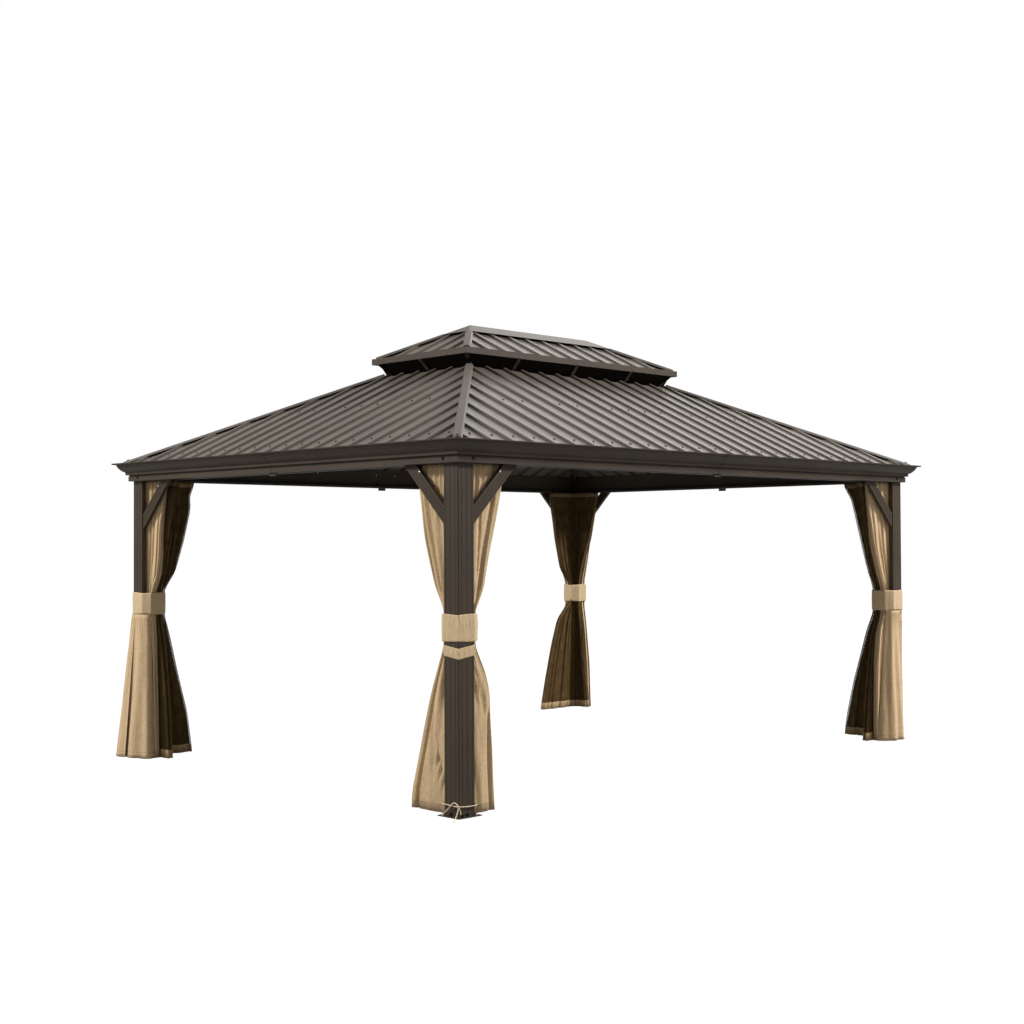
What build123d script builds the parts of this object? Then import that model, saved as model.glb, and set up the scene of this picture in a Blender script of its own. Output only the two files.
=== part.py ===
from build123d import *

import os
from math import atan, atan2, cos, degrees, hypot, radians, sqrt, tan

os.makedirs("parts", exist_ok=True)

# Driving dimensions in millimetres. X runs along the long sides, +Z is up, the origin is on the
# ground under the middle of the roof. Front is -Y and left is -X.
frame_length = 4700.0  # over the outer faces of the posts, along X
frame_width = 3500.0  # over the outer faces of the posts, along Y
beam_underside = 2000.0  # clear height under the beams
sheet_gap = 1.0  # between sheets that lie edge to edge
fit_gap = 0.3  # between pieces that are screwed together

# Posts: L-shaped hollow extrusions on flat plates.
post_leg = 120.0
post_thickness = 28.0
post_wall = 2.5
post_edge_radius = 6.0
flute_width = 16.0
flute_depth = 1.2
flute_count = 3
plate_thickness = 5.0
plate_overhang = 13.0  # beyond the outer faces of the post
plate_reach = 167.0  # from the outer face of the post inwards
plate_toe = 46.0  # width of the plate's arm at its end
plate_corner_radius = 12.0
anchor_hole_radius = 5.5
anchor_from_face = 14.0
anchor_from_corner = 143.0

# Diagonal braces.
brace_width = 74.0
brace_thickness = 26.0
brace_setback = 5.0  # behind the outer face of the post
brace_drop = 352.0  # from the beam down to the brace's lower edge, on the post
brace_groove_width = 8.0
brace_groove_depth = 2.0
brace_groove_count = 3

# Beam: a box with a crown moulding on its outer side.
beam_inner = 34.0  # inwards of the posts' outer faces
band_reach = 26.0
band_height = 36.0
groove_reach = 22.0
groove_top = 43.0
fillet_band_reach = 42.0
fillet_band_bottom = 45.0
fillet_band_top = 63.0
cove_reach = 90.0
cove_top = 117.0
lip_step_reach = 112.0
lip_step_height = 121.0
crown_reach = 115.0
crown_height = 130.0
lip_thickness = 4.0
lip_bevel = 4.0
gutter_rise = 1.0  # of the gutter's floor above the step under the lip
corner_piece_length = 38.0  # from the posts' outer faces inwards
beam_seam = 1.5
splice_length = 160.0
splice_height = 85.0
splice_low = 10.0  # above the beam's underside
splice_thickness = 4.0
bump_length = 70.0
bump_drop = 20.0
bump_thickness = 10.0
track_width = 56.0
track_height = 16.0
track_drop = 3.0
track_wall = 2.0
track_slot = 6.0

# Roof sheets: one ribbed profile for both roofs.
roof_slope = 0.471
pan_height_at_lip = 84.0  # height of the pans above the beam's underside, on the crown's lip line
roof_edge_from_lip = 66.0
vent_width = 880.0
rib_pitch = 175.5
rib_base = 46.0
rib_top = 24.0
rib_height = 15.0
sheet_thickness = 1.5
ribs_per_sheet = 3
hip_edge_gap = 10.0  # from the hip line to the end of a sheet, along the eave
cap_width = 58.0
cap_flat = 38.0
cap_rise = 26.0  # top of the cap above the hip line of the pans
cap_thickness = 1.5
cap_end_gap = 14.0  # from the vent opening, along the side
hip_fin_width = 6.0  # of the fin that closes the gap under a cap

# Bars under the lower roof.
hip_rafter_width = 40.0
hip_rafter_depth = 46.0
rafter_width = 36.0
rafter_depth = 44.0
rafter_offset = 600.0  # from the middle of a long side
purlin_width = 36.0
purlin_depth = 24.0
purlin_from_lip = 820.0
ring_lap = 20.0  # how far the sheets' top ends lie on the ring
ring_shelf = 44.0  # the ring's level part inside the sheets
ring_depth = 46.0
strut_width = 28.0
strut_thickness = 14.0
strut_offset = 600.0
strut_foot_inset = 31.0  # from the ends of the sheets
strut_top_inset = 21.0  # from the upper fascia
screen_thickness = 1.0  # of the mesh that closes the vent behind the struts
screen_foot_gap = 9.0  # from the corner of the mesh to its panels' ends
screen_head_gap = 34.0

# Upper roof.
upper_width = 1014.0
upper_extra = 21.0  # its ridge is longer than the lower hips alone would give, at each end
upper_slope = 0.487
vent_height = 87.5  # from the ring's shelf to the underside of the eave ring
eave_ring_width = 30.0
fascia_rise = 26.0  # above the upper pans at the edge
fascia_height = 43.0
fascia_thickness = 2.5
fascia_lip = 12.0
ridge_cap_reach = 135.0
ridge_bar_width = 30.0
ridge_bar_depth = 34.0
upper_rafter_width = 26.0
upper_rafter_depth = 30.0

# Curtains and netting, gathered to the posts.
cloth_start = 40.0  # inwards of the posts' outer faces, clear of the braces
curtain_thickness = 46.0
netting_thickness = 48.0
cloth_gap = 0.6
hem_clearance = 15.0
wing_reaches = {  # from the post's arris: along X at the track and the hem, then along Y
    "front_left": {"curtain": (410, 325, 400, 395), "netting": (430, 340, 430, 480)},
    "front_right": {"curtain": (400, 305, 380, 340), "netting": (450, 380, 450, 455)},
    "back_left": {"curtain": (400, 340, 345, 235), "netting": (450, 420, 430, 330)},
    "back_right": {"curtain": (400, 480, 320, 255), "netting": (430, 570, 340, 280)},
}
band_bottom = 988.0
band_top = 1143.0
band_thickness = 3.0
bundle_reach = 180.0
upper_bulge = 25.0  # the bundles' edges curve outwards above the bands
lower_bulge = 26.0  # and below them
band_shoulder = 39.0  # depth at which a band leaves the bundle's side for the post's leg
skirt_gap = 2.8  # from the post's outer faces, over the strap
strap_height = 62.0
strap_end_top = 969.0
strap_fall = 17.0
strap_thickness = 2.0

# Cord tied round the foot of the front left post, from one curtain to the other.
cord_diameter = 6.0
cord_arc_share = 0.45  # of the shorter run, taken by an arc
knot_radius = 7.0

half_length = frame_length / 2
half_width = frame_width / 2
lip_length = half_length + crown_reach
lip_width = half_width + crown_reach
roof_angle = atan(roof_slope)
upper_angle = atan(upper_slope)
upper_half_width = upper_width / 2
upper_overhang = half_length - half_width + upper_extra
upper_half_length = upper_half_width + upper_overhang
vent_half_width = vent_width / 2
vent_half_length = vent_half_width + half_length - half_width
post_foot = plate_thickness

# name, turn about Z, distance of the post faces from the middle, half length of the side
sides = [
    ("front", 0, half_width, half_length),
    ("right", 90, half_length, half_width),
    ("back", 180, half_width, half_length),
    ("left", 270, half_length, half_width),
]


def save(name, pieces):
    """Write one node; like pieces share it as solids that do not touch."""
    solids = [solid for piece in pieces for solid in piece.solids()]
    export_step(Compound(solids) if len(solids) > 1 else solids[0], f"parts/{name}.step")


def corners(piece):
    """The piece of the front left corner, and its three mirrored copies."""
    right = mirror(piece, about=Plane.YZ)
    back = mirror(piece, about=Plane.XZ)
    return {
        "front_left": piece,
        "front_right": right,
        "back_left": back,
        "back_right": mirror(right, about=Plane.XZ),
    }


def at_corner(piece):
    """Move a piece drawn from a post's outer arris, inwards along +X and +Y, to the front left."""
    return Pos(-half_length, -half_width, 0) * piece


def across_diagonal(piece):
    """The copy that runs along Y of a corner piece that runs along X."""
    return mirror(piece, about=Plane(origin=(0, 0, 0), z_dir=(1, -1, 0)))


def mitred(piece, gap=0.0):
    """Keep what lies on the X side of the mitre, a gap away from it."""
    return split(piece, bisect_by=Plane(origin=(gap, 0, 0), z_dir=(1, -1, 0)), keep=Keep.TOP)


def along(section, distance, start, end):
    """Carry a section of outward reach and height along X, on the side that faces -Y."""
    plane = Plane(origin=(start, -distance, 0), x_dir=(0, -1, 0), z_dir=(-1, 0, 0))
    return extrude(plane * section, amount=start - end)


def turned(piece, turn):
    return Rot(0, 0, turn) * piece


def pan(distance, side_distance):
    """Height of the lower roof's pans at a distance from the middle."""
    return beam_underside + pan_height_at_lip + roof_slope * (side_distance + crown_reach - distance)


def under_pan(distance, side_distance):
    """Height of the seat under the lower roof's sheets."""
    return pan(distance, side_distance) - sheet_thickness / cos(roof_angle) - fit_gap


ring_level = under_pan(vent_half_width, half_width)
eave_ring_bottom = ring_level + vent_height
fascia_bottom = eave_ring_bottom - fascia_thickness - fit_gap
upper_eave = fascia_bottom + fascia_height - fascia_rise


def upper_pan(inset):
    return upper_eave + upper_slope * inset


def under_upper_pan(inset):
    return upper_pan(inset) - sheet_thickness / cos(upper_angle) - fit_gap


# Posts and base plates.
def post():
    outline = Polyline(
        (0, 0), (post_leg, 0), (post_leg, post_thickness), (post_thickness, post_thickness),
        (post_thickness, post_leg), (0, post_leg), close=True,
    )
    profile = make_face(outline)
    arris = profile.vertices().sort_by_distance((0, 0, 0))[0]
    profile = fillet(arris, post_edge_radius)
    pitch = post_leg / flute_count
    for index in range(flute_count):
        middle = (index + 0.5) * pitch
        profile -= Pos(middle, 0) * Rectangle(flute_width, 2 * flute_depth)
        profile -= Pos(0, middle) * Rectangle(2 * flute_depth, flute_width)
    core_low = flute_depth + post_wall
    core_high = post_thickness - post_wall
    core = make_face(Polyline(
        (core_low, core_low), (post_leg - post_wall, core_low), (post_leg - post_wall, core_high),
        (core_high, core_high), (core_high, post_leg - post_wall), (core_low, post_leg - post_wall),
        close=True,
    ))
    return at_corner(Pos(0, 0, post_foot) * extrude(profile - core, amount=beam_underside - post_foot))


def base_plate():
    low = -plate_overhang
    outline = make_face(Polyline(
        (low, low), (plate_reach, low), (plate_reach, low + plate_toe), (low + plate_toe, plate_reach),
        (low, plate_reach), close=True,
    ))
    outer = outline.vertices().sort_by_distance((low, low, 0))[0]
    outline = fillet(outer, plate_corner_radius)
    outline -= Pos(anchor_from_corner, anchor_from_face) * Circle(anchor_hole_radius)
    outline -= Pos(anchor_from_face, anchor_from_corner) * Circle(anchor_hole_radius)
    return at_corner(extrude(outline, amount=plate_thickness))


for place, piece in corners(post()).items():
    save(f"post_{place}", [piece])
save("base_plates", corners(base_plate()).values())


# Braces: a grooved flat bar at 45 degrees, cut upright on the post and level under the beam.
def brace():
    section = Rectangle(brace_thickness, brace_width)
    spacing = brace_width / (brace_groove_count + 1)
    for index in range(brace_groove_count):
        height = (index + 1) * spacing - brace_width / 2
        for face in (-1, 1):
            groove = Rectangle(2 * brace_groove_depth, brace_groove_width)
            section -= Pos(face * brace_thickness / 2, height) * groove
    reach = 2 * (brace_drop + brace_width)
    bar = extrude(Plane.YZ * section, amount=reach, both=True)
    middle_drop = brace_drop - brace_width / sqrt(2)
    start = (post_leg, brace_setback + brace_thickness / 2, beam_underside - middle_drop)
    bar = Pos(*start) * Rot(0, -45, 0) * bar
    room = Box(reach, 4 * brace_thickness, reach, align=(Align.MIN, Align.CENTER, Align.MAX))
    return bar & (Pos(post_leg + fit_gap, start[1], beam_underside - fit_gap) * room)


brace_along_x = corners(at_corner(brace()))
brace_along_y = corners(at_corner(across_diagonal(brace())))
save("braces_front", [brace_along_x["front_left"], brace_along_x["front_right"]])
save("braces_back", [brace_along_x["back_left"], brace_along_x["back_right"]])
save("braces_left", [brace_along_y["front_left"], brace_along_y["back_left"]])
save("braces_right", [brace_along_y["front_right"], brace_along_y["back_right"]])


# Beams: the crown moulding outside, a level gutter behind its lip, and a seat for the sheets.
def beam_section():
    def seat(reach):
        return under_pan(reach, 0) - beam_underside

    edge = crown_reach - roof_edge_from_lip
    gutter = lip_step_height + gutter_rise
    foot = Polyline(
        (-beam_inner, 0), (band_reach, 0), (band_reach, band_height), (groove_reach, band_height),
        (groove_reach, groove_top), (fillet_band_reach, fillet_band_bottom),
        (fillet_band_reach, fillet_band_top),
    )
    cove = RadiusArc((fillet_band_reach, fillet_band_top), (cove_reach, cove_top), -90)
    rest = Polyline(
        (cove_reach, cove_top), (lip_step_reach, lip_step_height),
        (crown_reach, lip_step_height + lip_bevel), (crown_reach, crown_height),
        (crown_reach - lip_thickness, crown_height),
        (crown_reach - lip_thickness, gutter + lip_bevel), (cove_reach - lip_bevel, gutter),
        (edge, seat(edge)), (-beam_inner, seat(-beam_inner)), (-beam_inner, 0),
    )
    return make_face(Curve() + [foot, cove, rest])


def corner_crown():
    section = beam_section()
    stub = Pos(0, 0, beam_underside) * along(section, 0, -2 * crown_reach, corner_piece_length)
    stub = mitred(stub)
    return at_corner(stub + across_diagonal(stub))


def half_beam(distance, half_side):
    end = half_side - corner_piece_length - beam_seam
    return Pos(0, 0, beam_underside) * along(beam_section(), distance, beam_seam / 2, end)


save("crown_corners", corners(corner_crown()).values())
for side, turn, distance, half_side in sides:
    half = half_beam(distance, half_side)
    save(f"beam_{side}", [turned(half, turn), turned(mirror(half, about=Plane.YZ), turn)])


# Splice plates join the half beams behind the seam; a small block under it carries the tracks.
def splice(distance):
    low = beam_underside + splice_low
    plate = Box(splice_length, splice_thickness, splice_height, align=(Align.CENTER, Align.MIN, Align.MIN))
    plate = Pos(0, -distance + beam_inner + fit_gap, low) * plate
    block = Box(bump_length, bump_thickness, bump_drop, align=(Align.CENTER, Align.MIN, Align.MAX))
    block = Pos(0, -distance - band_reach + bump_thickness, beam_underside - fit_gap) * block
    return [plate, block]


def track(distance, half_side):
    """A double channel, open below, that the curtain and the netting slide in."""
    section = Rectangle(track_width, track_height)
    cell = (track_width - 3 * track_wall) / 2
    for place in (-1, 1):
        middle = place * (cell + track_wall) / 2
        section -= Pos(middle, 0) * Rectangle(cell, track_height - 2 * track_wall)
        section -= Pos(middle, -track_height / 2) * Rectangle(track_slot, 2 * track_wall + 1)
    reach = -beam_inner - splice_thickness - 2 * fit_gap - track_width / 2
    height = beam_underside - track_drop + track_height / 2
    end = half_side - post_leg - fit_gap
    return along(Pos(reach, height) * section, distance, -end, end)


splices = []
tracks = []
for side, turn, distance, half_side in sides:
    splices += [turned(piece, turn) for piece in splice(distance)]
    tracks.append(turned(track(distance, half_side), turn))
save("beam_splices", splices)
save("curtain_tracks", tracks)


# Roof sheets: ribs at one pitch, cut on the hips, three ribs to a sheet.
def ribbed_section(start, end, phase):
    """A sheet's section from start to end, ribbed at every pitch past the phase."""
    top = [(start, 0)]
    number = -int(start // -rib_pitch) - 2
    while number * rib_pitch + phase + rib_base / 2 < end:
        middle = number * rib_pitch + phase
        number += 1
        if middle - rib_base / 2 <= start:
            continue
        top += [
            (middle - rib_base / 2, 0), (middle - rib_top / 2, rib_height),
            (middle + rib_top / 2, rib_height), (middle + rib_base / 2, 0),
        ]
    top.append((end, 0))
    bottom = [(place, height - sheet_thickness) for place, height in reversed(top)]
    return make_face(Polyline(*top, *bottom, close=True))


def seams(half_eave, phase, first_seam):
    """Where one sheet ends and the next begins: at the foot of every third rib."""
    step = ribs_per_sheet * rib_pitch
    reach = half_eave - rib_pitch
    start = first_seam * rib_pitch + phase + rib_base / 2 + 2 * sheet_gap
    places = [start + number * step for number in range(-20, 21)]
    return [place for place in places if -reach < place < reach]


def roof_side(eave, half_eave, top, pans, slope, phase, first_seam):
    """The sheets of one side, which faces -Y: eave and top are distances from the middle."""
    angle = atan(slope)
    spare = 2 * rib_height
    origin = (0, -eave - spare, pans - slope * spare)
    plane = Plane(origin=origin, x_dir=(1, 0, 0), z_dir=(0, -1, -slope))
    length = (eave - top + 2 * spare) / cos(angle)
    half_top = half_eave - (eave - top)
    room = make_face(Polyline(
        (hip_edge_gap - half_eave, -eave), (half_eave - hip_edge_gap, -eave),
        (half_top - hip_edge_gap, -top), (hip_edge_gap - half_top, -top), close=True,
    ))
    room = Pos(0, 0, beam_underside) * extrude(room, amount=2 * half_length)
    edges = [-half_eave] + seams(half_eave, phase, first_seam) + [half_eave]
    pieces = []
    for start, end in zip(edges, edges[1:]):
        sheet = extrude(plane * ribbed_section(start, end - sheet_gap, phase), amount=-length)
        pieces.append(sheet & room)
    return pieces


def roof_phase(turn):
    """Ribs stand on the middle of a long side, and half a pitch off it on a short side."""
    return 0 if turn in (0, 180) else rib_pitch / 2


for side, turn, distance, half_side in sides:
    eave = distance + crown_reach - roof_edge_from_lip
    half_eave = half_side + crown_reach - roof_edge_from_lip
    top = vent_half_width if turn in (0, 180) else vent_half_length
    pieces = roof_side(eave, half_eave, top, pan(eave, distance), roof_slope, roof_phase(turn), -1)
    save(f"lower_roof_{side}", [turned(piece, turn) for piece in pieces])
for side, turn, distance, half_side in sides:
    long_side = turn in (0, 180)
    behind = fascia_thickness + fit_gap
    eave = (upper_half_width if long_side else upper_half_length) - behind
    half_eave = (upper_half_length if long_side else upper_half_width) - behind
    top = sheet_gap if long_side else upper_overhang + 2 * hip_edge_gap
    pieces = roof_side(eave, half_eave, top, upper_pan(behind), upper_slope, roof_phase(turn), -1)
    save(f"upper_roof_{side}", [turned(piece, turn) for piece in pieces])


# Hips: a bar or a cap carried inwards and upwards along the front left hip.
def along_hip(section, corner_x, corner_y, height, slope, start, end):
    """Section of width across the hip and height, from one plan inset to another."""
    origin = (start - corner_x, start - corner_y, height + slope * start)
    plane = Plane(origin=origin, x_dir=(1, -1, 0), z_dir=(-1, -1, 0))
    return extrude(plane * section, amount=(end - start) * hypot(sqrt(2), slope), dir=(1, 1, slope))


def cap_section(slope):
    """A flat strip with both sides folded down to just above the ribs."""
    half = cap_width / 2
    flat = cap_flat / 2
    edge = rib_height / cos(atan(slope)) - slope * half / sqrt(2) + fit_gap
    side = cap_thickness
    return make_face(Polyline(
        (-half, edge), (-half, edge + side), (-flat, cap_rise), (flat, cap_rise), (half, edge + side),
        (half, edge), (flat, cap_rise - side), (-flat, cap_rise - side), close=True,
    ))


def bar_section(width, depth, slope):
    """A bar under a hip: its upper faces follow the sheets, and a fin between them meets the cap."""
    top = -sheet_thickness / cos(atan(slope)) - fit_gap
    fall = slope / sqrt(2)
    fin = hip_fin_width / 2
    fin_top = cap_rise - cap_thickness - fit_gap - fall * hip_fin_width
    return make_face(Polyline(
        (-width / 2, top - fall * width / 2), (-fin, top - fall * fin), (-fin, fin_top), (fin, fin_top),
        (fin, top - fall * fin), (width / 2, top - fall * width / 2), (width / 2, top - depth),
        (-width / 2, top - depth), close=True,
    ))


lip_pan = beam_underside + pan_height_at_lip
cap_end = lip_width - vent_half_width - cap_end_gap
lower_cap = along_hip(
    cap_section(roof_slope), lip_length, lip_width, lip_pan, roof_slope, roof_edge_from_lip, cap_end,
)
save("lower_hip_caps", corners(lower_cap).values())
upper_cap_end = upper_half_width - ridge_cap_reach
upper_cap_start = fascia_thickness + fit_gap + cap_width / 2 / sqrt(2)
upper_cap = along_hip(
    cap_section(upper_slope), upper_half_length, upper_half_width, upper_eave, upper_slope,
    upper_cap_start, upper_cap_end,
)
save("upper_hip_caps", corners(upper_cap).values())


# Ridge cap: a hipped cover over the ridge and the tops of all four sides.
def hipped(half_x, half_y, height, slope, thickness):
    """A hipped shell whose eave is at a height, thickness measured upright."""
    shapes = []
    for drop, depth in ((0, thickness), (thickness, 4 * thickness)):
        rise = slope * half_y
        cross = make_face(Polyline(
            (-half_y, height - drop), (0, height + rise - drop), (half_y, height - drop),
            (half_y, height - depth - drop), (-half_y, height - depth - drop), close=True,
        ))
        long = make_face(Polyline(
            (-half_x, height - drop), (half_y - half_x, height + rise - drop),
            (half_x - half_y, height + rise - drop), (half_x, height - drop),
            (half_x, height - depth - drop), (-half_x, height - depth - drop), close=True,
        ))
        body = extrude(Plane.YZ * cross, amount=half_x, both=True)
        shapes.append(body & extrude(Plane.XZ * long, amount=half_y, both=True))
    return shapes[0] - shapes[1]


ridge_height = upper_pan(upper_half_width) + cap_rise
ridge_cap = hipped(
    upper_overhang + ridge_cap_reach, ridge_cap_reach,
    ridge_height - upper_slope * ridge_cap_reach, upper_slope, cap_thickness,
)
save("ridge_cap", [ridge_cap])


# Bars under the lower roof: hip rafters, rafters, purlins between them, and the ring.
ring_outer = vent_half_width + ring_lap
hip_start = crown_reach + beam_inner + hip_rafter_width / 2 / sqrt(2) + fit_gap
hip_end = lip_width - ring_outer - fit_gap
hip_rafter = along_hip(
    bar_section(hip_rafter_width, hip_rafter_depth, roof_slope),
    lip_length, lip_width, lip_pan, roof_slope, hip_start, hip_end,
)
save("hip_rafters", corners(hip_rafter).values())


def sloping_section(distance, outer, inner, depth):
    """A bar's upright section between two distances from the middle, its top under the sheets."""
    return make_face(Polyline(
        (outer, under_pan(outer, distance)), (inner, under_pan(inner, distance)),
        (inner, under_pan(inner, distance) - depth), (outer, under_pan(outer, distance) - depth),
        close=True,
    ))


def rafter(distance, vent_half, place):
    outer = distance - beam_inner - fit_gap
    inner = vent_half + ring_lap + fit_gap
    section = sloping_section(distance, outer, inner, rafter_depth)
    return along(section, 0, place - rafter_width / 2, place + rafter_width / 2)


def rafter_places(turn):
    return [-rafter_offset, rafter_offset] if turn in (0, 180) else [0.0]


def purlin_runs(distance, half_side, turn):
    """The purlins of one side, cut between the rafters and along the hip rafters."""
    middle = distance + crown_reach - purlin_from_lip
    section = sloping_section(
        distance, middle + purlin_width / 2, middle - purlin_width / 2, purlin_depth,
    )
    beside_hip = (hip_rafter_width / 2 + fit_gap) * sqrt(2)
    reach = half_side - distance - beside_hip
    room = make_face(Polyline((-reach, 0), (-reach - distance, -distance),
                              (reach + distance, -distance), (reach, 0), close=True))
    room = extrude(room, amount=2 * beam_underside)
    edge = rafter_width / 2 + fit_gap
    stops = [-half_side]
    for place in rafter_places(turn):
        stops += [place - edge, place + edge]
    stops.append(half_side)
    return [along(section, 0, low, high) & room for low, high in zip(stops[::2], stops[1::2])]


def mitred_bar(section, distance, half_side):
    """A bar along one side of a ring, its section in distances from the middle."""
    bar = along(section, 0, -half_side - distance, half_side + distance)
    for end in (-1, 1):
        origin = (end * (half_side - distance - fit_gap / 2), 0, 0)
        cut = Plane(origin=origin, z_dir=(end, 1, 0))
        bar = split(bar, bisect_by=cut, keep=Keep.BOTTOM)
    return bar


def vent_ring_section(distance, vent_half):
    outer = vent_half + ring_lap
    level = under_pan(vent_half, distance)
    return make_face(Polyline(
        (outer, under_pan(outer, distance)), (vent_half, level), (vent_half - ring_shelf, level),
        (vent_half - ring_shelf, level - ring_depth), (outer, level - ring_depth), close=True,
    ))


rafters = []
purlins = []
ring = []
for side, turn, distance, half_side in sides:
    vent_half = vent_half_width if turn in (0, 180) else vent_half_length
    vent_side = vent_half_length if turn in (0, 180) else vent_half_width
    for place in rafter_places(turn):
        rafters.append(turned(rafter(distance, vent_half, place), turn))
    purlins += [turned(piece, turn) for piece in purlin_runs(distance, half_side, turn)]
    bar = mitred_bar(vent_ring_section(distance, vent_half), vent_half, vent_side)
    ring.append(turned(bar, turn))
save("rafters", rafters)
save("purlins", purlins)
save("vent_ring", ring)


# Upper roof's frame: struts that lean outwards, the eave ring, the fascia and the bars.
eave_ring_outer = fascia_thickness + fit_gap


def strut(foot, head):
    """A flat strut from the ring's level shelf to the underside of the eave ring."""
    rise = eave_ring_bottom - ring_level
    way = (head[0] - foot[0], head[1] - foot[1], rise)
    facing = degrees(atan2(way[0], -way[1]))
    section = Pos(*foot, ring_level) * Rot(0, 0, facing) * Rectangle(strut_width, strut_thickness)
    return extrude(section, amount=hypot(*way), dir=way)


struts = []
for side, turn, distance, half_side in sides:
    long_side = turn in (0, 180)
    low = (vent_half_width if long_side else vent_half_length) - strut_foot_inset
    high = (upper_half_width if long_side else upper_half_length) - strut_top_inset
    for place in [-strut_offset, 0, strut_offset] if long_side else [0]:
        struts.append(turned(strut((place, -low), (place, -high)), turn))
corner_foot = (strut_foot_inset - vent_half_length, strut_foot_inset - vent_half_width)
corner_head_inset = strut_top_inset + strut_thickness
corner_head = (corner_head_inset - upper_half_length, corner_head_inset - upper_half_width)
struts += corners(strut(corner_foot, corner_head)).values()
save("struts", struts)


def screen(low_side, low, high_side, high):
    """A leaning panel of mesh on the side that faces -Y, from the ring to the eave ring."""
    foot = ring_level + fit_gap
    head = eave_ring_bottom - fit_gap
    panel = make_face(Polyline(
        (-low_side, -low, foot), (low_side, -low, foot), (high_side, -high, head), (-high_side, -high, head),
        close=True,
    ))
    return extrude(panel, amount=screen_thickness, dir=(0, 1, 0))


behind_strut = strut_thickness / 2 + 2 * fit_gap
screens = []
for side, turn, distance, half_side in sides:
    long_side = turn in (0, 180)
    low_inset = strut_foot_inset + behind_strut
    high_inset = strut_top_inset + behind_strut
    reach = [vent_half_width, vent_half_length, upper_half_width, upper_half_length]
    low, low_side, high, high_side = reach if long_side else [reach[1], reach[0], reach[3], reach[2]]
    screens.append(turned(screen(
        low_side - low_inset - screen_foot_gap, low - low_inset,
        high_side - high_inset - screen_head_gap, high - high_inset,
    ), turn))
save("vent_screens", screens)


def eave_ring_section(upper_half):
    outer = upper_half - eave_ring_outer
    inner = outer - eave_ring_width
    return make_face(Polyline(
        (outer, under_upper_pan(upper_half - outer)), (inner, under_upper_pan(upper_half - inner)),
        (inner, eave_ring_bottom), (outer, eave_ring_bottom), close=True,
    ))


def fascia_section(upper_half):
    """An upright strip with a small lip turned inwards at its foot."""
    inner = upper_half - fascia_thickness
    return make_face(Polyline(
        (upper_half, fascia_bottom), (upper_half, fascia_bottom + fascia_height),
        (inner, fascia_bottom + fascia_height), (inner, fascia_bottom + fascia_thickness),
        (upper_half - fascia_lip, fascia_bottom + fascia_thickness),
        (upper_half - fascia_lip, fascia_bottom), close=True,
    ))


eave_ring = []
fascia = []
for side, turn, distance, half_side in sides:
    upper_half = upper_half_width if turn in (0, 180) else upper_half_length
    upper_side = upper_half_length if turn in (0, 180) else upper_half_width
    eave_ring.append(turned(mitred_bar(eave_ring_section(upper_half), upper_half, upper_side), turn))
    fascia.append(turned(mitred_bar(fascia_section(upper_half), upper_half, upper_side), turn))
save("upper_eave_ring", eave_ring)
save("upper_fascia", fascia)

half_across = upper_rafter_width / 2 / sqrt(2)
upper_hip_start = eave_ring_outer + eave_ring_width + half_across + fit_gap
upper_hip_end = upper_half_width - half_across - fit_gap
upper_rafter = along_hip(
    bar_section(upper_rafter_width, upper_rafter_depth, upper_slope), upper_half_length,
    upper_half_width, upper_eave, upper_slope, upper_hip_start, upper_hip_end,
)
ridge_top = under_upper_pan(upper_half_width)
ridge_fall = upper_slope * ridge_bar_width / 2
ridge_bar = along(make_face(Polyline(
    (-ridge_bar_width / 2, ridge_top - ridge_fall), (0, ridge_top),
    (ridge_bar_width / 2, ridge_top - ridge_fall), (ridge_bar_width / 2, ridge_top - ridge_bar_depth),
    (-ridge_bar_width / 2, ridge_top - ridge_bar_depth), close=True,
)), 0, -upper_overhang, upper_overhang)
save("upper_rafters", corners(upper_rafter).values())
save("ridge_bar", [ridge_bar])


# Curtains and netting: each corner has a wing of cloth along each side, gathered under a band.
cloth_top = beam_underside - track_drop - fit_gap


def wing(top_reach, hem_reach, start, thickness):
    """The wing along X, drawn from the post's arris; the mitre keeps it off the wing along Y."""
    upper_middle = ((top_reach + bundle_reach) / 2 + upper_bulge, (cloth_top + band_top) / 2)
    lower_middle = ((hem_reach + bundle_reach) / 2 + lower_bulge, (hem_clearance + band_bottom) / 2)
    inner = start - thickness
    outline = Curve() + [
        Polyline((bundle_reach, band_top), (bundle_reach, band_bottom)),
        ThreePointArc((bundle_reach, band_bottom), lower_middle, (hem_reach, hem_clearance)),
        Polyline(
            (hem_reach, hem_clearance), (inner, hem_clearance), (inner, cloth_top), (top_reach, cloth_top),
        ),
        ThreePointArc((top_reach, cloth_top), upper_middle, (bundle_reach, band_top)),
    ]
    plane = Plane(origin=(0, start, 0), x_dir=(1, 0, 0), z_dir=(0, -1, 0))
    cloth = extrude(plane * make_face(outline), amount=-thickness)
    return mitred(cloth, cloth_gap / 2)


def wings(reaches, start, thickness):
    """Both wings of a corner, in the place of the front left one."""
    x_top, x_hem, y_top, y_hem = reaches
    along_y = across_diagonal(wing(y_top, y_hem, start, thickness))
    return at_corner(wing(x_top, x_hem, start, thickness)) + at_corner(along_y)


def skirt(top, hem):
    """Cloth outside the post, from an outline just under the band to one at the hem."""
    low = Pos(0, 0, hem_clearance) * make_face(Polyline(*hem, close=True))
    high = Pos(0, 0, band_bottom - fit_gap) * make_face(Polyline(*top, close=True))
    return at_corner(loft([low, high], ruled=True))


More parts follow.
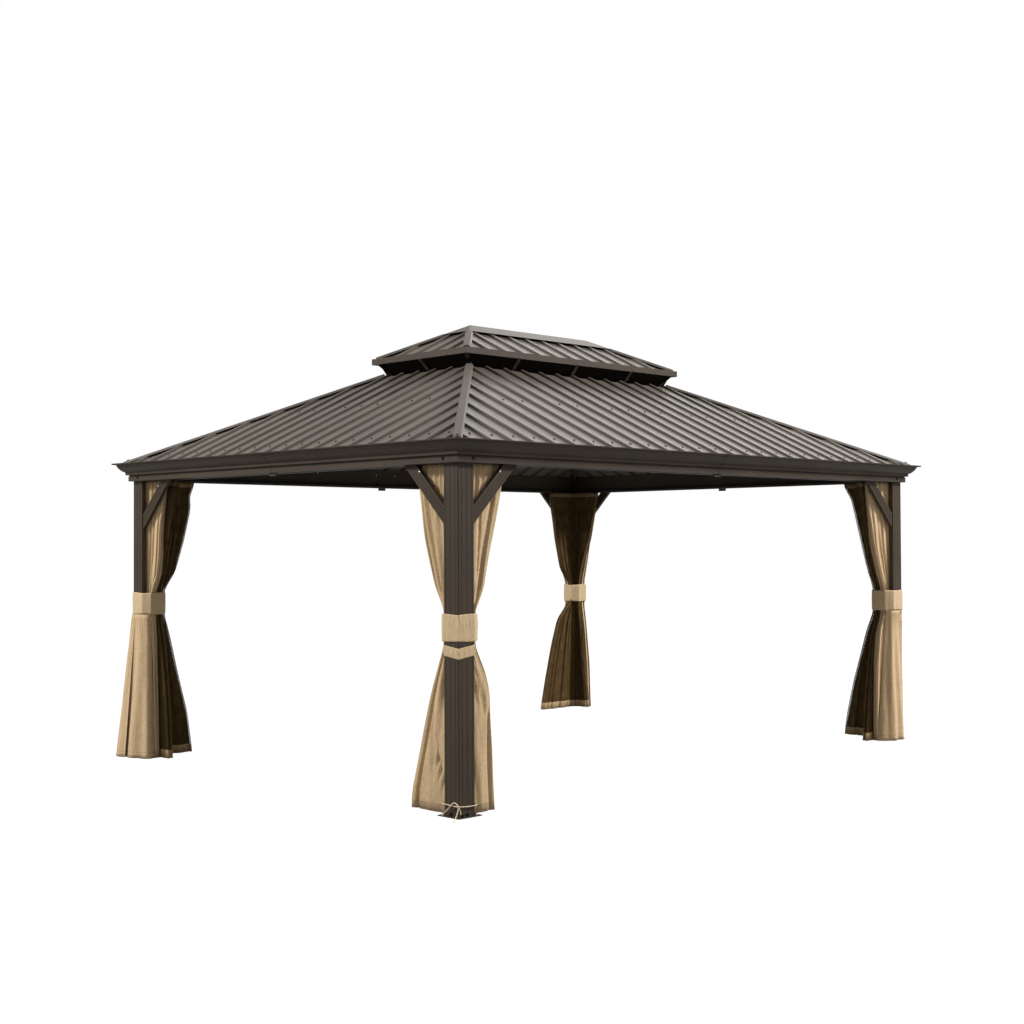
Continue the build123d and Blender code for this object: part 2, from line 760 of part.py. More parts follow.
# On two corners the curtain falls outside the post below its band. Both outlines run round the
# cloth from its wing's face, and come back along the post.
leg_end = post_leg + skirt_gap
wing_face = cloth_start - fit_gap
skirts = {
    "front_right": skirt(
        [(35, -skirt_gap), (32, -9), (100, -10), (150, -4), (178, wing_face), (leg_end, wing_face),
         (leg_end, -skirt_gap)],
        [(35, -skirt_gap), (32, -50), (170, -60), (260, -40), (300, wing_face), (leg_end, wing_face),
         (leg_end, -skirt_gap)],
    ),
    "back_left": skirt(
        [(wing_face, 178), (10, 168), (-10, 100), (-11, -11), (45, -10), (45, -skirt_gap),
         (-skirt_gap, -skirt_gap), (-skirt_gap, leg_end), (wing_face, leg_end)],
        [(wing_face, 233), (-30, 238), (-70, 120), (-98, -95), (45, -98), (45, -skirt_gap),
         (-skirt_gap, -skirt_gap), (-skirt_gap, leg_end), (wing_face, leg_end)],
    ),
}
netting_start = cloth_start + curtain_thickness + cloth_gap
for place, reaches in wing_reaches.items():
    curtain = wings(reaches["curtain"], cloth_start, curtain_thickness)
    if place in skirts:
        curtain += skirts[place]
    netting = wings(reaches["netting"], netting_start, netting_thickness)
    save(f"curtain_{place}", [corners(curtain)[place]])
    save(f"netting_{place}", [corners(netting)[place]])


def tie_band():
    """A flat loop over the post's outer faces and round the bundle inside."""
    near = -fit_gap
    far = bundle_reach + cloth_gap
    back = netting_start + netting_thickness + 2 * cloth_gap
    side = [(leg_end, near), (far, band_shoulder), (far, back)]
    inside = make_face(Polyline((near, near), *side, *[(y, x) for x, y in reversed(side)], close=True))
    loop = offset(inside, amount=band_thickness, kind=Kind.INTERSECTION) - inside
    return at_corner(Pos(0, 0, band_bottom) * extrude(loop, amount=band_top - band_bottom))


def strap():
    """A narrow strap over both outer faces, lower at the arris than at its ends."""
    plane = Plane(origin=(0, -fit_gap, 0), x_dir=(1, 0, 0), z_dir=(0, -1, 0))
    corner_top = strap_end_top - strap_fall
    reach = -fit_gap - strap_thickness
    fall = strap_fall * (post_leg - reach) / post_leg
    strip = make_face(Polyline(
        (reach, strap_end_top - fall), (post_leg, strap_end_top),
        (post_leg, strap_end_top - strap_height), (reach, strap_end_top - strap_height - fall), close=True,
    ))
    half = mitred(extrude(plane * strip, amount=strap_thickness))
    return at_corner(half + across_diagonal(half))


save("tie_bands", corners(tie_band()).values())
save("corner_straps", corners(strap()).values())


# Tie cord: round the foot of the front left post, with a half bow on the arris. The routes are in
# millimetres from the arris, inwards along X and Y, and up from the ground.
cord_routes = {
    "tie_cord": [
        (39.4, 150, 77), (8, 149, 76.5), (-15, 122, 75.5), (-11, 92, 72.8), (-9, 63, 70.4),
        (-10.5, 35, 69.6), (-17, 7, 70.4), (7, -17, 69.6), (35, -10.5, 66.2), (63, -9, 64),
        (92, -11, 64.2), (122, -15, 65.5), (149, 8, 66.5), (150, 39.4, 67),
    ],
    "tie_tail_left": [
        (-14.6, -6.3, 75.8), (-16.5, 3, 87), (-18, 18, 92), (-18.5, 35, 85), (-18, 54, 66),
        (-17, 76, 46), (-18, 103, 26), (-18.5, 122, 8),
    ],
    "tie_tail_front": [
        (-16.5, -11.4, 63.2), (-20, -13, 46), (-31, -12, 26), (-52, -26, 9), (-78, -45, 3.6),
        (-100, -62, 3.4),
    ],
    "tie_tail_right": [(-10.6, -13.3, 64), (-7, -16.3, 51.5), (-2.6, -17.2, 39), (1.5, -15.6, 27)],
}
knot_middle = (-13.9, -10.7, 70)


def tube(points):
    """Straight runs joined by tangent arcs, each as large as its two runs allow."""
    points = [Vector(*point) for point in points]
    runs = [end - start for start, end in zip(points, points[1:])]
    radii = []
    for before, after in zip(runs, runs[1:]):
        half_turn = radians(before.get_angle(after)) / 2
        radii.append(cord_arc_share * min(before.length, after.length) / tan(half_turn))
    print("radii", [round(radius, 1) for radius in radii])
    path = FilletPolyline(*points, radius=radii)
    return sweep(Plane(origin=path @ 0, z_dir=path % 0) * Circle(cord_diameter / 2), path=path)


for name, points in cord_routes.items():
    save(name, [at_corner(tube(points))])
save("tie_knot", [at_corner(Pos(*knot_middle) * Sphere(knot_radius))])
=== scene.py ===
import bpy
import numpy as np
from mathutils import Matrix, Vector


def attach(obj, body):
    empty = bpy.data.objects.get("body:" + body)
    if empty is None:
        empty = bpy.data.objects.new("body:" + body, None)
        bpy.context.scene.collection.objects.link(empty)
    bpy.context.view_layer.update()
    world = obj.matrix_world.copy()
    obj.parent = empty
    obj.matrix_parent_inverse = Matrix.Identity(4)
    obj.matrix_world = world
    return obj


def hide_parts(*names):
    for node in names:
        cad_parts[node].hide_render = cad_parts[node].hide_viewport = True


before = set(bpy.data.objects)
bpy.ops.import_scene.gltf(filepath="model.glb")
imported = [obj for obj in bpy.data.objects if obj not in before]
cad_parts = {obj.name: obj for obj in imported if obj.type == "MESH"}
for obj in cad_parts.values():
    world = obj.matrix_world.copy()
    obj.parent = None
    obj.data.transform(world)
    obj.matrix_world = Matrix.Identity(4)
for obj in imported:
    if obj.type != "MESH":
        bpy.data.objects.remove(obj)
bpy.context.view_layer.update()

# The viewpoint: a person's eye height off the front left corner, with a lens a little longer than
# normal, so that both eaves run down to the sides and the nearest post stands left of the middle.
camera_data = bpy.data.cameras.new("camera")
camera_data.sensor_width = 36.0
camera_data.lens = 52.396
camera_data.clip_end = 200.0
camera = bpy.data.objects.new("camera", camera_data)
yaw, pitch, roll = np.radians([45.4312, 1.0926, -0.2382])
ahead = Vector((np.cos(pitch) * np.cos(yaw), np.cos(pitch) * np.sin(yaw), np.sin(pitch)))
level_right = Vector((np.sin(yaw), -np.cos(yaw), 0.0))
level_up = level_right.cross(ahead)
right = level_right * np.cos(roll) + level_up * np.sin(roll)
up = level_up * np.cos(roll) - level_right * np.sin(roll)
eye = (-8.0064, -7.9242, 1.5584)
camera.matrix_world = Matrix.Translation(eye) @ Matrix((right, up, -ahead)).transposed().to_4x4()
bpy.context.collection.objects.link(camera)
bpy.context.scene.camera = camera
bpy.context.scene.view_settings.view_transform = "Standard"


# The stage: a plain pale floor that fades into a white surround, an even overcast sky, one big
# soft lamp behind on the right, which the long side of the roof mirrors, and two keys in front.
def add(tree, kind, setting=None, **inputs):
    """A node of a kind, with its operation or data type set first, and its sockets set by name, or by
    number as i0, i1, to values or links."""
    node = tree.nodes.new(kind)
    if setting:
        setattr(node, "data_type" if kind == "ShaderNodeMix" else "operation", setting)
    for key, value in inputs.items():
        socket = node.inputs[int(key[1:])] if key[0] == "i" and key[1:].isdigit() else node.inputs[key]
        if isinstance(value, bpy.types.NodeSocket):
            tree.links.new(value, socket)
        else:
            socket.default_value = value
    return node


def maths(tree, operation, *values):
    """The output of a Math node."""
    sockets = {f"i{number}": value for number, value in enumerate(values)}
    return add(tree, "ShaderNodeMath", operation, **sockets).outputs[0]


def seen_or_lit(tree, seen_share, lit, seen, output):
    """Mix what lights the object with what the camera sees, by a share of the camera's rays."""
    eye = add(tree, "ShaderNodeLightPath").outputs["Is Camera Ray"]
    share = maths(tree, "MULTIPLY", eye, seen_share)
    look = add(tree, "ShaderNodeMixShader", Fac=share, i1=lit.outputs[0], i2=seen.outputs[0])
    add(tree, output, Surface=look.outputs[0])


floor_half = 60
floor_mesh = bpy.data.meshes.new("floor")
floor_mesh.from_pydata(
    [(x * floor_half, y * floor_half, 0) for x, y in ((-1, -1), (1, -1), (1, 1), (-1, 1))], [], [(0, 1, 2, 3)]
)
floor = bpy.data.objects.new("floor", floor_mesh)
bpy.context.collection.objects.link(floor)
floor_paint = bpy.data.materials.new("floor_pale")
floor_paint.use_nodes = True
floor_tree = floor_paint.node_tree
floor_tree.nodes.clear()
floor_lit = add(floor_tree, "ShaderNodeBsdfDiffuse", Color=(0.3, 0.3, 0.3, 1))
floor_seen = add(floor_tree, "ShaderNodeEmission", Color=(1, 1, 1, 1), Strength=1.25)
seen_or_lit(floor_tree, 0.8, floor_lit, floor_seen, "ShaderNodeOutputMaterial")
floor.data.materials.append(floor_paint)

world = bpy.data.worlds.new("overcast")
world.use_nodes = True
bpy.context.scene.world = world
sky_tree = world.node_tree
sky_tree.nodes.clear()
sky_lit = add(sky_tree, "ShaderNodeBackground", Color=(1.0, 0.98, 0.95, 1), Strength=0.4)
sky_seen = add(sky_tree, "ShaderNodeBackground", Color=(1, 1, 1, 1), Strength=1.0)
seen_or_lit(sky_tree, 1.0, sky_lit, sky_seen, "ShaderNodeOutputWorld")


def soft_lamp(name, place, aim, size, power):
    """A square area lamp at a place, facing an aim point."""
    lamp = bpy.data.lights.new(name, "AREA")
    lamp.size = size
    lamp.energy = power
    body = bpy.data.objects.new(name, lamp)
    way = Vector(aim) - Vector(place)
    body.matrix_world = Matrix.Translation(place) @ way.to_track_quat("-Z", "Y").to_matrix().to_4x4()
    bpy.context.collection.objects.link(body)


soft_lamp("lamp_back_right", (17.0, 9.0, 11.0), (0.0, 0.0, 2.0), 11.0, 600.0)
soft_lamp("lamp_left", (-10.5, 7.0, 9.4), (0.0, 0.0, 1.2), 2.5, 2300.0)
soft_lamp("lamp_front_right", (8.5, -8.6, 10.0), (0.0, 0.0, 1.2), 2.5, 3050.0)


# Frame: aluminium extrusions, powder coated a dark brown with a faint grain and slow clouds, and
# bolted together through plates. The curtain tracks inside have the same coating, a shade darker.
def new_finish(name):
    """A material with an empty Principled shader, and its node tree."""
    material = bpy.data.materials.new(name)
    material.use_nodes = True
    tree = material.node_tree
    return material, tree, tree.nodes["Principled BSDF"]


def mottled(tree, factor, dark, light):
    """A colour between two, by a factor."""
    ramp = add(tree, "ShaderNodeValToRGB", Fac=factor)
    ramp.color_ramp.elements[0].position = 0.3
    ramp.color_ramp.elements[1].position = 0.7
    ramp.color_ramp.elements[0].color = (*dark, 1)
    ramp.color_ramp.elements[1].color = (*light, 1)
    return ramp.outputs["Color"]


rib_pitch, rib_foot, rolled_pitch = 0.1755, 0.0230, 0.0219
rib_foot_painted_shade, rib_foot_shade_fade = 0.42, 6.0  # painted shade: darkest at the foot of a rib, and how soon it fades


def coating(name, dark, light, roughness, specular, grain_depth, lines_along=None):
    """Powder coat: a clouded colour under a fine grain. A sheet also has fine rolled lines across X or Y, a
    sine wave, and painted shade that darkens the colour at each rib's foot and fades with the distance from
    it."""
    material, tree, shader = new_finish(name)
    place = add(tree, "ShaderNodeTexCoord").outputs["Object"]
    grain = add(tree, "ShaderNodeTexNoise", Vector=place, Scale=900.0, Detail=2.0)
    cloud = add(tree, "ShaderNodeTexNoise", Vector=place, Scale=2.3, Detail=4.0)
    colour = mottled(tree, cloud.outputs["Fac"], dark, light)
    bump = add(tree, "ShaderNodeBump", Height=grain.outputs["Fac"], Strength=0.15, Distance=grain_depth)
    if lines_along:
        split = add(tree, "ShaderNodeSeparateXYZ", Vector=place)
        along = split.outputs[lines_along]
        phase = 0.0 if lines_along == "X" else 0.5
        turns = maths(tree, "ADD", maths(tree, "DIVIDE", along, rib_pitch), phase)
        from_rib = maths(tree, "PINGPONG", turns, 0.5)
        # Painted shade: the colour is darkened at the foot of each rib, where shade falls, and clears away
        # from it.
        from_foot = maths(tree, "ABSOLUTE", maths(tree, "SUBTRACT", from_rib, rib_foot / rib_pitch))
        foot_shade_ramp = maths(tree, "ADD", maths(tree, "MULTIPLY", from_foot, rib_foot_shade_fade), rib_foot_painted_shade)
        painted_foot_shade = maths(tree, "MINIMUM", foot_shade_ramp, 1.0)
        colour = add(tree, "ShaderNodeVectorMath", "MULTIPLY", i0=colour, i1=painted_foot_shade).outputs[0]
        wave = maths(tree, "SINE", maths(tree, "MULTIPLY", along, 2 * np.pi / rolled_pitch))
        bump = add(
            tree, "ShaderNodeBump", Height=wave, Normal=bump.outputs["Normal"], Strength=0.5, Distance=0.0008,
        )
    tree.links.new(colour, shader.inputs["Base Color"])
    tree.links.new(bump.outputs["Normal"], shader.inputs["Normal"])
    shader.inputs["Roughness"].default_value = roughness
    shader.inputs["Specular IOR Level"].default_value = specular
    return material


def coat(nodes, material):
    """Give nodes of the frame one material."""
    for node in nodes:
        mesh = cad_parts[node].data
        mesh.materials.clear()
        mesh.materials.append(material)


roof_nodes = [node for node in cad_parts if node.startswith(("lower_roof", "upper_roof"))]
cap_nodes = ["lower_hip_caps", "upper_hip_caps", "ridge_cap"]
soft_nodes = [
    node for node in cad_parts
    if node.startswith(("curtain_", "netting_", "tie_", "corner_straps")) and node != "curtain_tracks"
]
frame_nodes = [
    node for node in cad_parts
    if node not in roof_nodes + cap_nodes + soft_nodes + ["vent_screens", "curtain_tracks"]
]
frame_paint = coating("frame_paint", (0.041, 0.029, 0.018), (0.055, 0.040, 0.026), 0.46, 0.24, 0.0004)
coat(frame_nodes, frame_paint)
track_paint = coating("track_paint", (0.024, 0.02, 0.016), (0.032, 0.027, 0.022), 0.4, 0.4, 0.0002)
coat(["curtain_tracks"], track_paint)

# Fasteners of the frame: zinc plated anchor bolts and silver screws, and black hex bolts through
# the posts' feet and the beams' lower bands. Each head has a washer under it.
bpy.context.view_layer.update()
half_length, half_width = 2.35, 1.75  # to the posts' outer faces
corner_signs = {
    "front_left": (-1, -1), "front_right": (1, -1), "back_left": (-1, 1), "back_right": (1, 1),
}


def land(node, start, way):
    """Where a straight line first meets a node."""
    met, place, _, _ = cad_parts[node].ray_cast(Vector(start), Vector(way))
    if not met:
        raise ValueError(f"nothing of {node} lies ahead of {tuple(start)}")
    return place


def stand(name, data):
    """An object at the origin that rides on the frame's one body."""
    piece = bpy.data.objects.new(name, data)
    bpy.context.collection.objects.link(piece)
    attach(piece, "root")
    return piece


def piece_of(name, points, faces, material):
    """A mesh piece of one material."""
    mesh = bpy.data.meshes.new(name)
    mesh.from_pydata(points, [], faces)
    mesh.materials.append(material)
    return stand(name, mesh)


def heads(name, profile, segments, spots, material):
    """Like heads in one mesh: (radius, height) pairs turned about an axis, six segments for a hexagon,
    stood on each spot, a place and the way its axis points."""
    radius, height = np.array(profile).T
    angle = np.arange(segments) * 2 * np.pi / segments
    one = np.stack([
        np.outer(radius, np.cos(angle)), np.outer(radius, np.sin(angle)), np.outer(height, np.ones(segments)),
    ], axis=-1).reshape(-1, 3)
    index = np.arange(len(one)).reshape(len(profile), segments)
    ahead_of = np.roll(index, -1, axis=1)
    walls = np.stack([index[:-1], ahead_of[:-1], ahead_of[1:], index[1:]], axis=-1).reshape(-1, 4).tolist()
    faces = walls + [index[-1].tolist(), index[0][::-1].tolist()]
    points = []
    every = []
    for number, (place, way) in enumerate(spots):
        turn = np.array(Vector(way).to_track_quat("Z", "Y").to_matrix())
        points.append(one @ turn.T + np.array(place))
        every += [[corner + number * len(one) for corner in face] for face in faces]
    return piece_of(name, np.concatenate(points).tolist(), every, material)


def plating(name, colour, roughness, metallic):
    """Plated or painted steel of a head, faintly clouded."""
    material, tree, shader = new_finish(name)
    place = add(tree, "ShaderNodeTexCoord").outputs["Object"]
    cloud = add(tree, "ShaderNodeTexNoise", Vector=place, Scale=160.0, Detail=3.0)
    dark = tuple(0.8 * value for value in colour)
    tree.links.new(mottled(tree, cloud.outputs["Fac"], dark, colour), shader.inputs["Base Color"])
    shader.inputs["Roughness"].default_value = roughness
    shader.inputs["Metallic"].default_value = metallic
    return material


zinc = plating("zinc_plating", (0.75, 0.73, 0.7), 0.3, 1.0)
black_zinc = plating("black_zinc", (0.02, 0.018, 0.016), 0.35, 0.6)
hex_bolt = [(0.0105, 0.0), (0.0105, 0.0016), (0.0085, 0.0018), (0.0085, 0.0062), (0.007, 0.0075)]
anchor_bolt = [(0.012, 0.0), (0.012, 0.002), (0.0095, 0.0022), (0.0095, 0.008), (0.008, 0.0092)]
pan_head = [(0.0065, 0.0), (0.0065, 0.0012), (0.0056, 0.003), (0.003, 0.0038)]
plate_top = 0.005
anchor_inset, anchor_reach = 0.014, 0.143
foot_bolt_height, foot_bolts = 0.019, (0.067, 0.03)
band_bolt_corner, band_bolt_height = 0.1, 2.026
brace_screw_corner, brace_screw_height = 0.333, 1.957
outside = 0.3  # where a sight line starts, off a face


def both_faces(side_x, side_y, along_it, height):
    """For each outer face of a corner, where a sight line on it starts, and the way out of it."""
    near_x, near_y = side_x * (half_length - along_it), side_y * (half_width - along_it)
    far_x, far_y = side_x * (half_length + outside), side_y * (half_width + outside)
    return [
        ((near_x, far_y, height), Vector((0, side_y, 0))), ((far_x, near_y, height), Vector((side_x, 0, 0))),
    ]


anchors, foot_spots, band_spots, brace_spots = [], [], [], []
for place, (side_x, side_y) in corner_signs.items():
    for near, far in ((anchor_inset, anchor_reach), (anchor_reach, anchor_inset)):
        anchors.append(((side_x * (half_length - near), side_y * (half_width - far), plate_top), (0, 0, 1)))
    for along_it in foot_bolts:
        for start, out in both_faces(side_x, side_y, along_it, foot_bolt_height):
            foot_spots.append((land(f"post_{place}", start, -out), out))
    for kind, spots, along_it, height in (
        ("beam", band_spots, band_bolt_corner, band_bolt_height),
        ("braces", brace_spots, brace_screw_corner, brace_screw_height),
    ):
        for side, (start, out) in zip(place.split("_"), both_faces(side_x, side_y, along_it, height)):
            spots.append((land(f"{kind}_{side}", start, -out), out))
heads("anchor_bolts", anchor_bolt, 6, anchors, zinc)
heads("foot_bolts", hex_bolt, 6, foot_spots, black_zinc)
heads("band_bolts", hex_bolt, 6, band_spots, black_zinc)
heads("brace_screws", pan_head, 12, brace_spots, zinc)

# Beams: each comes in two lengths, butted at its middle over a splice plate. The joint shows as a
# dark line round the moulding, and silver screws hold the plate on the long beams' inner faces.
splice_screws = ((0.707, 2.11), (0.097, 2.104), (0.016, 2.039))  # from the middle, and height
inside = 0.5
splice_spots = []
for side_y, beam in ((-1, "beam_front"), (1, "beam_back")):
    for side_x in (-1, 1):
        for along_it, height in splice_screws:
            place = land(beam, (side_x * along_it, inside * side_y, height), (0, side_y, 0))
            splice_spots.append((place, (0, -side_y, 0)))
heads("splice_screws", pan_head, 12, splice_spots, zinc)

seam_low, seam_high, seam_rows = 2.001, 2.127, 45
seam_half, seam_proud, seam_deep = 0.0035, 0.0004, 0.002
beside_gap, far_off = 0.004, 3.2  # the sight line passes beside the gap between the two lengths


def joint_line(name, beam, way_x, way_y, material):
    """A ribbon a little proud of a beam's moulding, round its outside at the middle: its section is
    a thin box, carried up the outline that sight lines find."""
    across = Vector((-way_y, way_x, 0))
    points = []
    outwards = Vector((way_x, way_y, 0))
    for height in np.linspace(seam_low, seam_high, seam_rows):
        start = far_off * outwards + beside_gap * across + Vector((0, 0, height))
        met = land(beam, start, -outwards) + seam_proud * outwards - beside_gap * across
        inner = met - seam_deep * outwards
        points += [
            met - seam_half * across, met + seam_half * across,
            inner + seam_half * across, inner - seam_half * across,
        ]
    faces = [(3, 2, 1, 0), tuple(len(points) - 4 + corner for corner in range(4))]
    for row in range(0, len(points) - 4, 4):
        for corner in range(4):
            beside = (corner + 1) % 4
            faces.append((row + corner, row + beside, row + beside + 4, row + corner + 4))
    piece_of(name, points, faces, material)


joint_dark = plating("joint_gap", (0.006, 0.005, 0.004), 0.8, 0.0)
side_ways = {"front": (0, -1), "right": (1, 0), "back": (0, 1), "left": (-1, 0)}
for side, (way_x, way_y) in side_ways.items():
    joint_line(f"joint_line_{side}", f"beam_{side}", way_x, way_y, joint_dark)

# Roof: steel sheets with trapezoid ribs, coated a warm grey brown, screwed down through the pans
# at the eave and along the purlin. The caps over the hips are a shade darker.
for line_axis, sides in (("X", ("front", "back")), ("Y", ("left", "right"))):
    roof_paint = coating(
        f"roof_paint_{line_axis}", (0.108, 0.092, 0.076), (0.141, 0.12, 0.1), 0.3, 0.45, 0.0002, line_axis,
    )
    coat([node for node in roof_nodes if node.endswith(sides)], roof_paint)
cap_paint = coating("cap_paint", (0.09, 0.077, 0.064), (0.115, 0.098, 0.082), 0.42, 0.35, 0.0002)
coat(cap_nodes, cap_paint)
screw_paint = plating("screw_paint", (0.06, 0.05, 0.042), 0.45, 0.2)
roof_screw = [(0.0085, 0.0), (0.0085, 0.0015), (0.006, 0.0019), (0.006, 0.006), (0.005, 0.0068)]
slope, above_roof, pans_each_way = 0.471, 4.0, 14
screw_rows = {  # distance of a row from the middle, its half length, and whether every pan has a screw
    "long": ((1.68, 2.25, True), (1.055, 1.62, False)),
    "short": ((2.26, 1.65, True), (1.635, 1.0, False)),
}
roof_spots = []
for side, (way_x, way_y) in side_ways.items():
    phase = 0.5 if way_y else 0.0
    up_roof = Vector((slope * way_x, slope * way_y, 1)).normalized()
    for line, half, every in screw_rows["long" if way_y else "short"]:
        pans = np.arange(-pans_each_way, pans_each_way) + phase
        pans = pans[np.abs(pans * rib_pitch) < half]
        if not every:  # along the purlin, the pan beside each lap stays bare
            pans = pans[np.abs(np.floor(np.abs(pans)) % 3 - 2) > 0.5]
        for pan in pans * rib_pitch:
            start = (way_x * line + way_y * pan, way_y * line - way_x * pan, above_roof)
            roof_spots.append((land(f"lower_roof_{side}", start, (0, 0, -1)), up_roof))
heads("roof_screws", roof_screw, 6, roof_spots, screw_paint)

# Trim of the roofs: painted screws hold the upper roof's fascia strips, and each hip cap of the
# lower roof ends in a small pressed boss over the corner.
fascia_height, fascia_offsets = 2.846, {"long": (-0.608, 0.0, 0.606), "short": (-0.3, 0.3)}
off_fascia = 2
fascia_spots = []
for way_x, way_y in side_ways.values():
    for offset in fascia_offsets["long" if way_y else "short"]:
        start = (
            off_fascia * way_x + way_y * offset, off_fascia * way_y - way_x * offset, fascia_height,
        )
        fascia_spots.append((land("upper_fascia", start, (-way_x, -way_y, 0)), Vector((way_x, way_y, 0))))
heads("fascia_screws", pan_head, 12, fascia_spots, screw_paint)
boss = [(0.013, -0.003), (0.013, 0.001), (0.0115, 0.005), (0.0075, 0.0078), (0.003, 0.009)]
boss_x, boss_y, boss_lean, boss_rise = 2.378, 1.778, 0.223, 0.949
boss_spots = []
for side_x, side_y in corner_signs.values():
    foot = land("lower_hip_caps", (boss_x * side_x, boss_y * side_y, above_roof), (0, 0, -1))
    boss_spots.append((foot, Vector((boss_lean * side_x, boss_lean * side_y, boss_rise))))
heads("cap_bosses", boss, 20, boss_spots, cap_paint)

# Vent screens: black coated mesh behind the struts, fine enough to look like a dark veil.
mesh_wires, mesh_tree, mesh_shader = new_finish("vent_mesh")
mesh_place = add(mesh_tree, "ShaderNodeTexCoord").outputs["Object"]
mesh_cells = add(mesh_tree, "ShaderNodeTexVoronoi", Vector=mesh_place, Scale=420.0)
mesh_tree.links.new(
    mottled(mesh_tree, mesh_cells.outputs["Distance"], (0.004, 0.0035, 0.003), (0.009, 0.0075, 0.006)),
    mesh_shader.inputs["Base Color"],
)
mesh_shader.inputs["Roughness"].default_value = 0.7
mesh_shader.inputs["Specular IOR Level"].default_value = 0.05
coat(["vent_screens"], mesh_wires)

# Between two screens the mesh goes on round the corner, behind the corner strut, and flares at its
# foot over the end of the hip cap.
veil_corners = [
    (1.0009, 0.3924, 2.7535), (0.9924, 0.4009, 2.7535), (1.0654, 0.4779, 2.8404), (1.0989, 0.4444, 2.8404),
]
veil_back = [(0.0008, 0.0)] * 4  # steps inwards and down from those corners
veil_face = [(-0.034, 0.014)] * 2 + [(-0.0041, 0.0)] * 2
veil_box = [(0, 1, 2, 3), (7, 6, 5, 4), (0, 4, 5, 1), (1, 5, 6, 2), (2, 6, 7, 3), (3, 7, 4, 0)]
veil_points, veil_faces = [], []
for side_x, side_y in corner_signs.values():
    base = len(veil_points)
    for (x, y, z), (step, fall) in zip(veil_corners * 2, veil_face + veil_back):
        veil_points.append((side_x * (x - step), side_y * (y - step), z - fall))
    for face in veil_box:
        veil_faces.append([base + corner for corner in (face if side_x * side_y > 0 else face[::-1])])
piece_of("vent_corner_mesh", veil_points, veil_faces, mesh_wires)

# Curtains: khaki polyester, one wing along each side of every corner, gathered to the post by a
# band. A wing goes out in tight pleats from the post, comes back, and shows one smooth leaf outside.
cloth_top, hem = 1.9965, 0.0078
band_low, band_high = 0.988, 1.143
panel_columns, return_columns, row_count = 88, 12, 45
share_of_rows = [0, 0.3, 0.43, 0.53, 0.68, 0.88, 1]
height_at_share = [hem, 0.8, 0.983, 1.148, 1.33, 1.86, cloth_top]
cloth_rows = np.interp(np.linspace(0, 1, row_count), share_of_rows, height_at_share)


def eased(value):
    """Smooth step from 0 to 1: three times the square less twice the cube."""
    value = np.clip(value, 0, 1)
    return value * value * (3 - 2 * value)


def smooth_line(points, at, window=0.07):
    """A line through (height, reach) pairs, averaged over a raised cosine window either way."""
    fine = np.linspace(-0.3, 2.3, 1041)
    weight = np.hanning(2 * int(window / (fine[1] - fine[0])) + 1)
    known, value = np.array(points).T
    line = np.convolve(np.interp(fine, known, value), weight / weight.sum(), "same")
    return np.interp(at, fine, line)


fold_ends = 0.1  # height over which a fold fades in and out


def long_folds(across, height, folds):
    """Depth of given folds: a bell across each, wide on one side and narrow on the other, leaning with height
    and fading at its ends. A negative depth swells outwards."""
    depth = np.zeros(np.broadcast(across, height).shape)
    for middle, near_side, far_side, deep, lean, low, high in folds:
        off = across - middle - lean * (height - (low + high) / 2)
        width = np.where(off < 0, near_side, far_side)
        run = eased((height - low) / fold_ends) * eased((high - height) / fold_ends)
        depth += deep * np.exp(-((off / width) ** 2)) * run
    return depth


header_pleats, header_foot, header_rise, header_deep = 7, 1.6, 0.35, 0.01
gather_deep, gather_fade, gathers_wide, gathers_fine = 0.007, 0.1, 5, 8
swing_deep, wrinkle_deep, wrinkles = 0.012, 0.0011, 5


def leaf_relief(across, height, folds, rng):
    """Relief of a hanging leaf: long folds, header pleats that die out downwards, gathers beside the
    band, and faint slanting wrinkles as a sum of sines."""
    relief = long_folds(across, height, folds)
    swing = swing_deep * np.sin(9 * across + 5 * height)
    header = eased((height - header_foot) / header_rise)
    pleats = 0.5 - 0.5 * np.cos(2 * np.pi * header_pleats * (across + swing))
    relief = relief + header_deep * header * pleats
    off_band = np.maximum(np.maximum(height - band_high, band_low - height), 0)
    gathers = np.sin(np.pi * gathers_wide * across + rng.uniform(0, 3)) ** 2
    gathers = gathers + 0.5 * np.sin(np.pi * gathers_fine * across + 1) ** 2
    relief = relief + gather_deep * gathers * np.exp(-((off_band / gather_fade) ** 2))
    for number in range(wrinkles):
        slant, step, start = rng.uniform(-14, 14), rng.uniform(9, 26), rng.uniform(0, 6)
        relief = relief + wrinkle_deep * (1 + np.sin(step * across + slant * height + start))
    return relief


leaf_room, back_depth, back_limit = 0.027, 0.0288, 0.03  # depths behind the wing's own face
pleat_middle, pleat_size, pleat_limit = 0.0412, 0.0103, 0.0515
off_post, pleats_short, back_short = 0.0018, 0.006, 0.008
relief_soft, post_fade, edge_width, edge_turn = 0.024, 0.06, 0.045, 0.014


